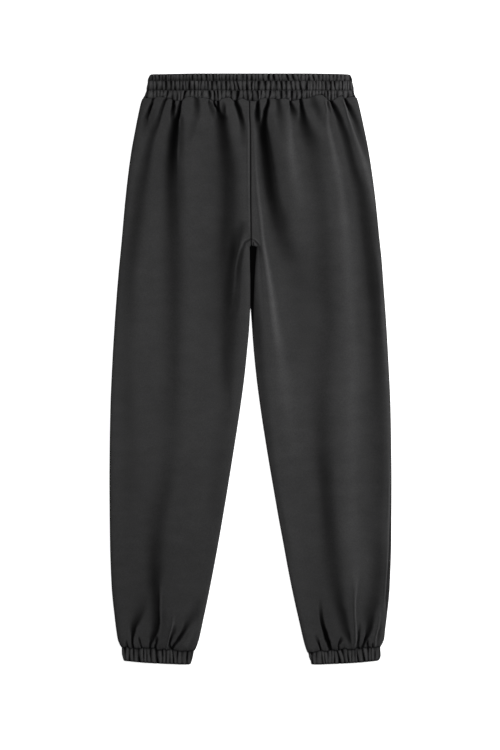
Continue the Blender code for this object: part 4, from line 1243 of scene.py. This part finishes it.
def knitMaterial(name, look):
    # a jersey face of small V stitches, brushed to a short nap whose colour drifts at random, times the
    # painted shade and highlights that the mesh carries
    material, tree, shader = newMaterial(name)
    place = addNode(tree, "ShaderNodeTexCoord").outputs["Object"]
    weave = addNode(tree, "ShaderNodeUVMap", uv_map="weave").outputs["UV"]
    split = addNode(tree, "ShaderNodeSeparateXYZ", {0: weave})
    u, v = split.outputs[0], split.outputs[1]

    cloud = noise(tree, place, *nap["cloud"])
    mottle = noise(tree, place, *nap["mottle"])
    streaks = noise(tree, stretched(tree, place, nap["streakScale"]), *nap["streaks"])
    grain = noise(tree, place, *nap["grain"])
    fibre = noise(tree, stretched(tree, weave, nap["fibreScale"]), *nap["fibre"])
    # the painted shade and highlights that the mesh carries
    shade = addNode(tree, "ShaderNodeAttribute", attribute_name="paintedLight").outputs["Fac"]
    for value, amount in (
            (cloud, look["cloud"]), (mottle, look["cloud"] / 2), (streaks, look["streaks"]),
            (grain, look["grain"]), (fibre, look["heather"])):
        shade = calc(tree, "MULTIPLY", shade, spread(tree, value, amount))

    # one wale is a column of V stitches: the two arms of the V lean opposite ways
    wale = calc(tree, "DIVIDE", u, look["walePitch"])
    arm = calc(tree, "PINGPONG", wale, 0.5)
    lean = calc(tree, "MULTIPLY_ADD", arm, nap["vLean"], calc(tree, "DIVIDE", v, look["coursePitch"]))
    course = calc(tree, "SINE", calc(tree, "MULTIPLY", lean, 2 * math.pi))
    column = calc(tree, "SINE", calc(tree, "MULTIPLY", arm, 2 * math.pi))
    knit = calc(tree, "MULTIPLY_ADD", course, nap["courseDepth"], column)
    shade = calc(tree, "MULTIPLY", shade, calc(tree, "MULTIPLY_ADD", knit, *nap["knitTone"]))

    colourBy(tree, shader, look["colour"], shade)
    drift = nap["roughnessDrift"]
    rough = calc(tree, "MULTIPLY_ADD", mottle, 2 * drift, look["roughness"] - drift)
    tree.links.new(rough, shader.inputs["Roughness"])
    shader.inputs["Sheen Weight"].default_value = nap["sheen"]
    shader.inputs["Sheen Roughness"].default_value = nap["sheenRoughness"]
    shader.inputs["Sheen Tint"].default_value = nap["sheenTint"]
    shader.inputs["Specular IOR Level"].default_value = nap["specular"]

    knitBump = addNode(tree, "ShaderNodeBump", {
        "Strength": look["knitBump"], "Distance": nap["knitHeight"], "Height": knit})
    tufts = calc(tree, "ADD", grain, calc(tree, "MULTIPLY", fibre, nap["fibreHeight"]))
    napBump = addNode(tree, "ShaderNodeBump", {
        "Strength": look["napBump"], "Distance": nap["napHeight"], "Height": tufts,
        "Normal": knitBump.outputs[0]})
    tree.links.new(napBump.outputs[0], shader.inputs["Normal"])
    return material


threadLook = dict(
    colour=(0.012, 0.012, 0.0123), roughness=0.62, sheen=0.1,
    twistScale=900, twistDrift=1.5, twistTone=0.2, twistBump=0.5, twistHeight=0.0001,
)


def threadMaterial():
    material, tree, shader = newMaterial("twisted_thread")
    place = addNode(tree, "ShaderNodeTexCoord").outputs["Object"]
    twist = addNode(tree, "ShaderNodeTexWave", {
        "Vector": place, "Scale": threadLook["twistScale"],
        "Distortion": threadLook["twistDrift"], "Detail": 1,
    }, bands_direction="DIAGONAL").outputs[1]
    colourBy(tree, shader, threadLook["colour"], spread(tree, twist, threadLook["twistTone"]))
    shader.inputs["Roughness"].default_value = threadLook["roughness"]
    shader.inputs["Sheen Weight"].default_value = threadLook["sheen"]
    bump = addNode(tree, "ShaderNodeBump", {
        "Strength": threadLook["twistBump"], "Distance": threadLook["twistHeight"], "Height": twist})
    tree.links.new(bump.outputs[0], shader.inputs["Normal"])
    return material


studio = dict(
    lens=85, sensor=36,
    frameHeight=1.2948,  # metres of floor along the view's long side
    centre=(-0.00086, -0.00975),
    clothTop=0.006,  # the frame is measured at the height of the cloth
    floorColour=0.8, floorGlow=0.75, floorReach=90, floorLevel=-0.0004,
    skyStrength=0.31,
    topPower=29.5, topSize=(1.6, 1.6), topPlace=(0.55, 0.65, 2), topTarget=(0.05, 0.1, 0),
    keyPower=33, keySize=(0.9, 2.4), keyPlace=(1.9, 0.35, 1.15), keyTarget=(0, 0.05, 0),
)


def addSoftbox(name, power, size, place, target):
    data = bpy.data.lights.new(name, "AREA")
    data.shape = "RECTANGLE"
    data.size, data.size_y = size
    data.energy = power
    light = bpy.data.objects.new(name, data)
    light.location = place
    light.rotation_mode = "QUATERNION"
    light.rotation_quaternion = (Vector(target) - Vector(place)).to_track_quat("-Z", "Y")
    light.visible_camera = False
    bpy.context.scene.collection.objects.link(light)


def makeStudio():
    scene = bpy.context.scene
    scene.view_settings.view_transform = "Standard"
    scene.view_settings.look = "None"
    scene.view_settings.exposure = 0
    world = bpy.data.worlds.new("studio_air")
    world.use_nodes = True
    background = world.node_tree.nodes["Background"]
    background.inputs["Color"].default_value = (1, 1, 1, 1)
    background.inputs["Strength"].default_value = studio["skyStrength"]
    scene.world = world

    floorMaterial, _, shader = newMaterial("pale_floor")
    shader.inputs["Base Color"].default_value = (*[studio["floorColour"]] * 3, 1)
    shader.inputs["Roughness"].default_value = 1
    shader.inputs["Specular IOR Level"].default_value = 0
    shader.inputs["Emission Color"].default_value = (1, 1, 1, 1)
    shader.inputs["Emission Strength"].default_value = studio["floorGlow"]
    mesh = bpy.data.meshes.new("floor")
    reach, level = studio["floorReach"], studio["floorLevel"]
    corners = [(x * reach, y * reach, level) for x, y in ((-1, -1), (1, -1), (1, 1), (-1, 1))]
    mesh.from_pydata(corners, [], [(0, 1, 2, 3)])
    mesh.materials.append(floorMaterial)
    floor = bpy.data.objects.new("floor", mesh)
    scene.collection.objects.link(floor)

    for name, lamp in (("overhead_softbox", "top"), ("side_softbox", "key")):
        addSoftbox(name, *(studio[lamp + part] for part in ("Power", "Size", "Place", "Target")))

    data = bpy.data.cameras.new("camera")
    data.lens = studio["lens"]
    data.sensor_width = studio["sensor"]
    camera = bpy.data.objects.new("camera", data)
    distance = studio["frameHeight"] * studio["lens"] / studio["sensor"]
    camera.location = (*studio["centre"], distance + studio["clothTop"])
    scene.collection.objects.link(camera)
    scene.camera = camera


makeStudio()
print("studio: floor, two softboxes and the camera")

fleeceMaterial = knitMaterial("brushed_fleece", knitLooks["fleece"])
casingMaterial = knitMaterial("casing_fleece", knitLooks["casing"])
stitchMaterial = threadMaterial()
print("materials: fleece, casing and thread")

# the wearer's right leg's width at 400 drops from the waist seam to the cuff seam, which nothing reads
down = np.linspace(fleece["seamDrop"], fleece["cuffDrop"], 400)
legWidth = through(legOutline["outer"]["right"], down) - through(legOutline["inner"]["right"], down)
for leg in sides:
    for face in ("back", "front"):
        panel = makePanel(leg, face, fleeceMaterial)
        print(f"{face} {leg}: {len(panel.data.polygons)} faces")

band, stitchLines = makeWaistband(casingMaterial)
stitches = makeStitches("waist_stitches", stitchLines, stitchMaterial)
print(f"waistband: {len(band.data.polygons)} faces, stitches: {len(stitches.data.polygons)}")

for leg in sides:
    cuff = makeCuff(leg, casingMaterial)
    print(f"cuff {leg}: {len(cuff.data.polygons)} faces")
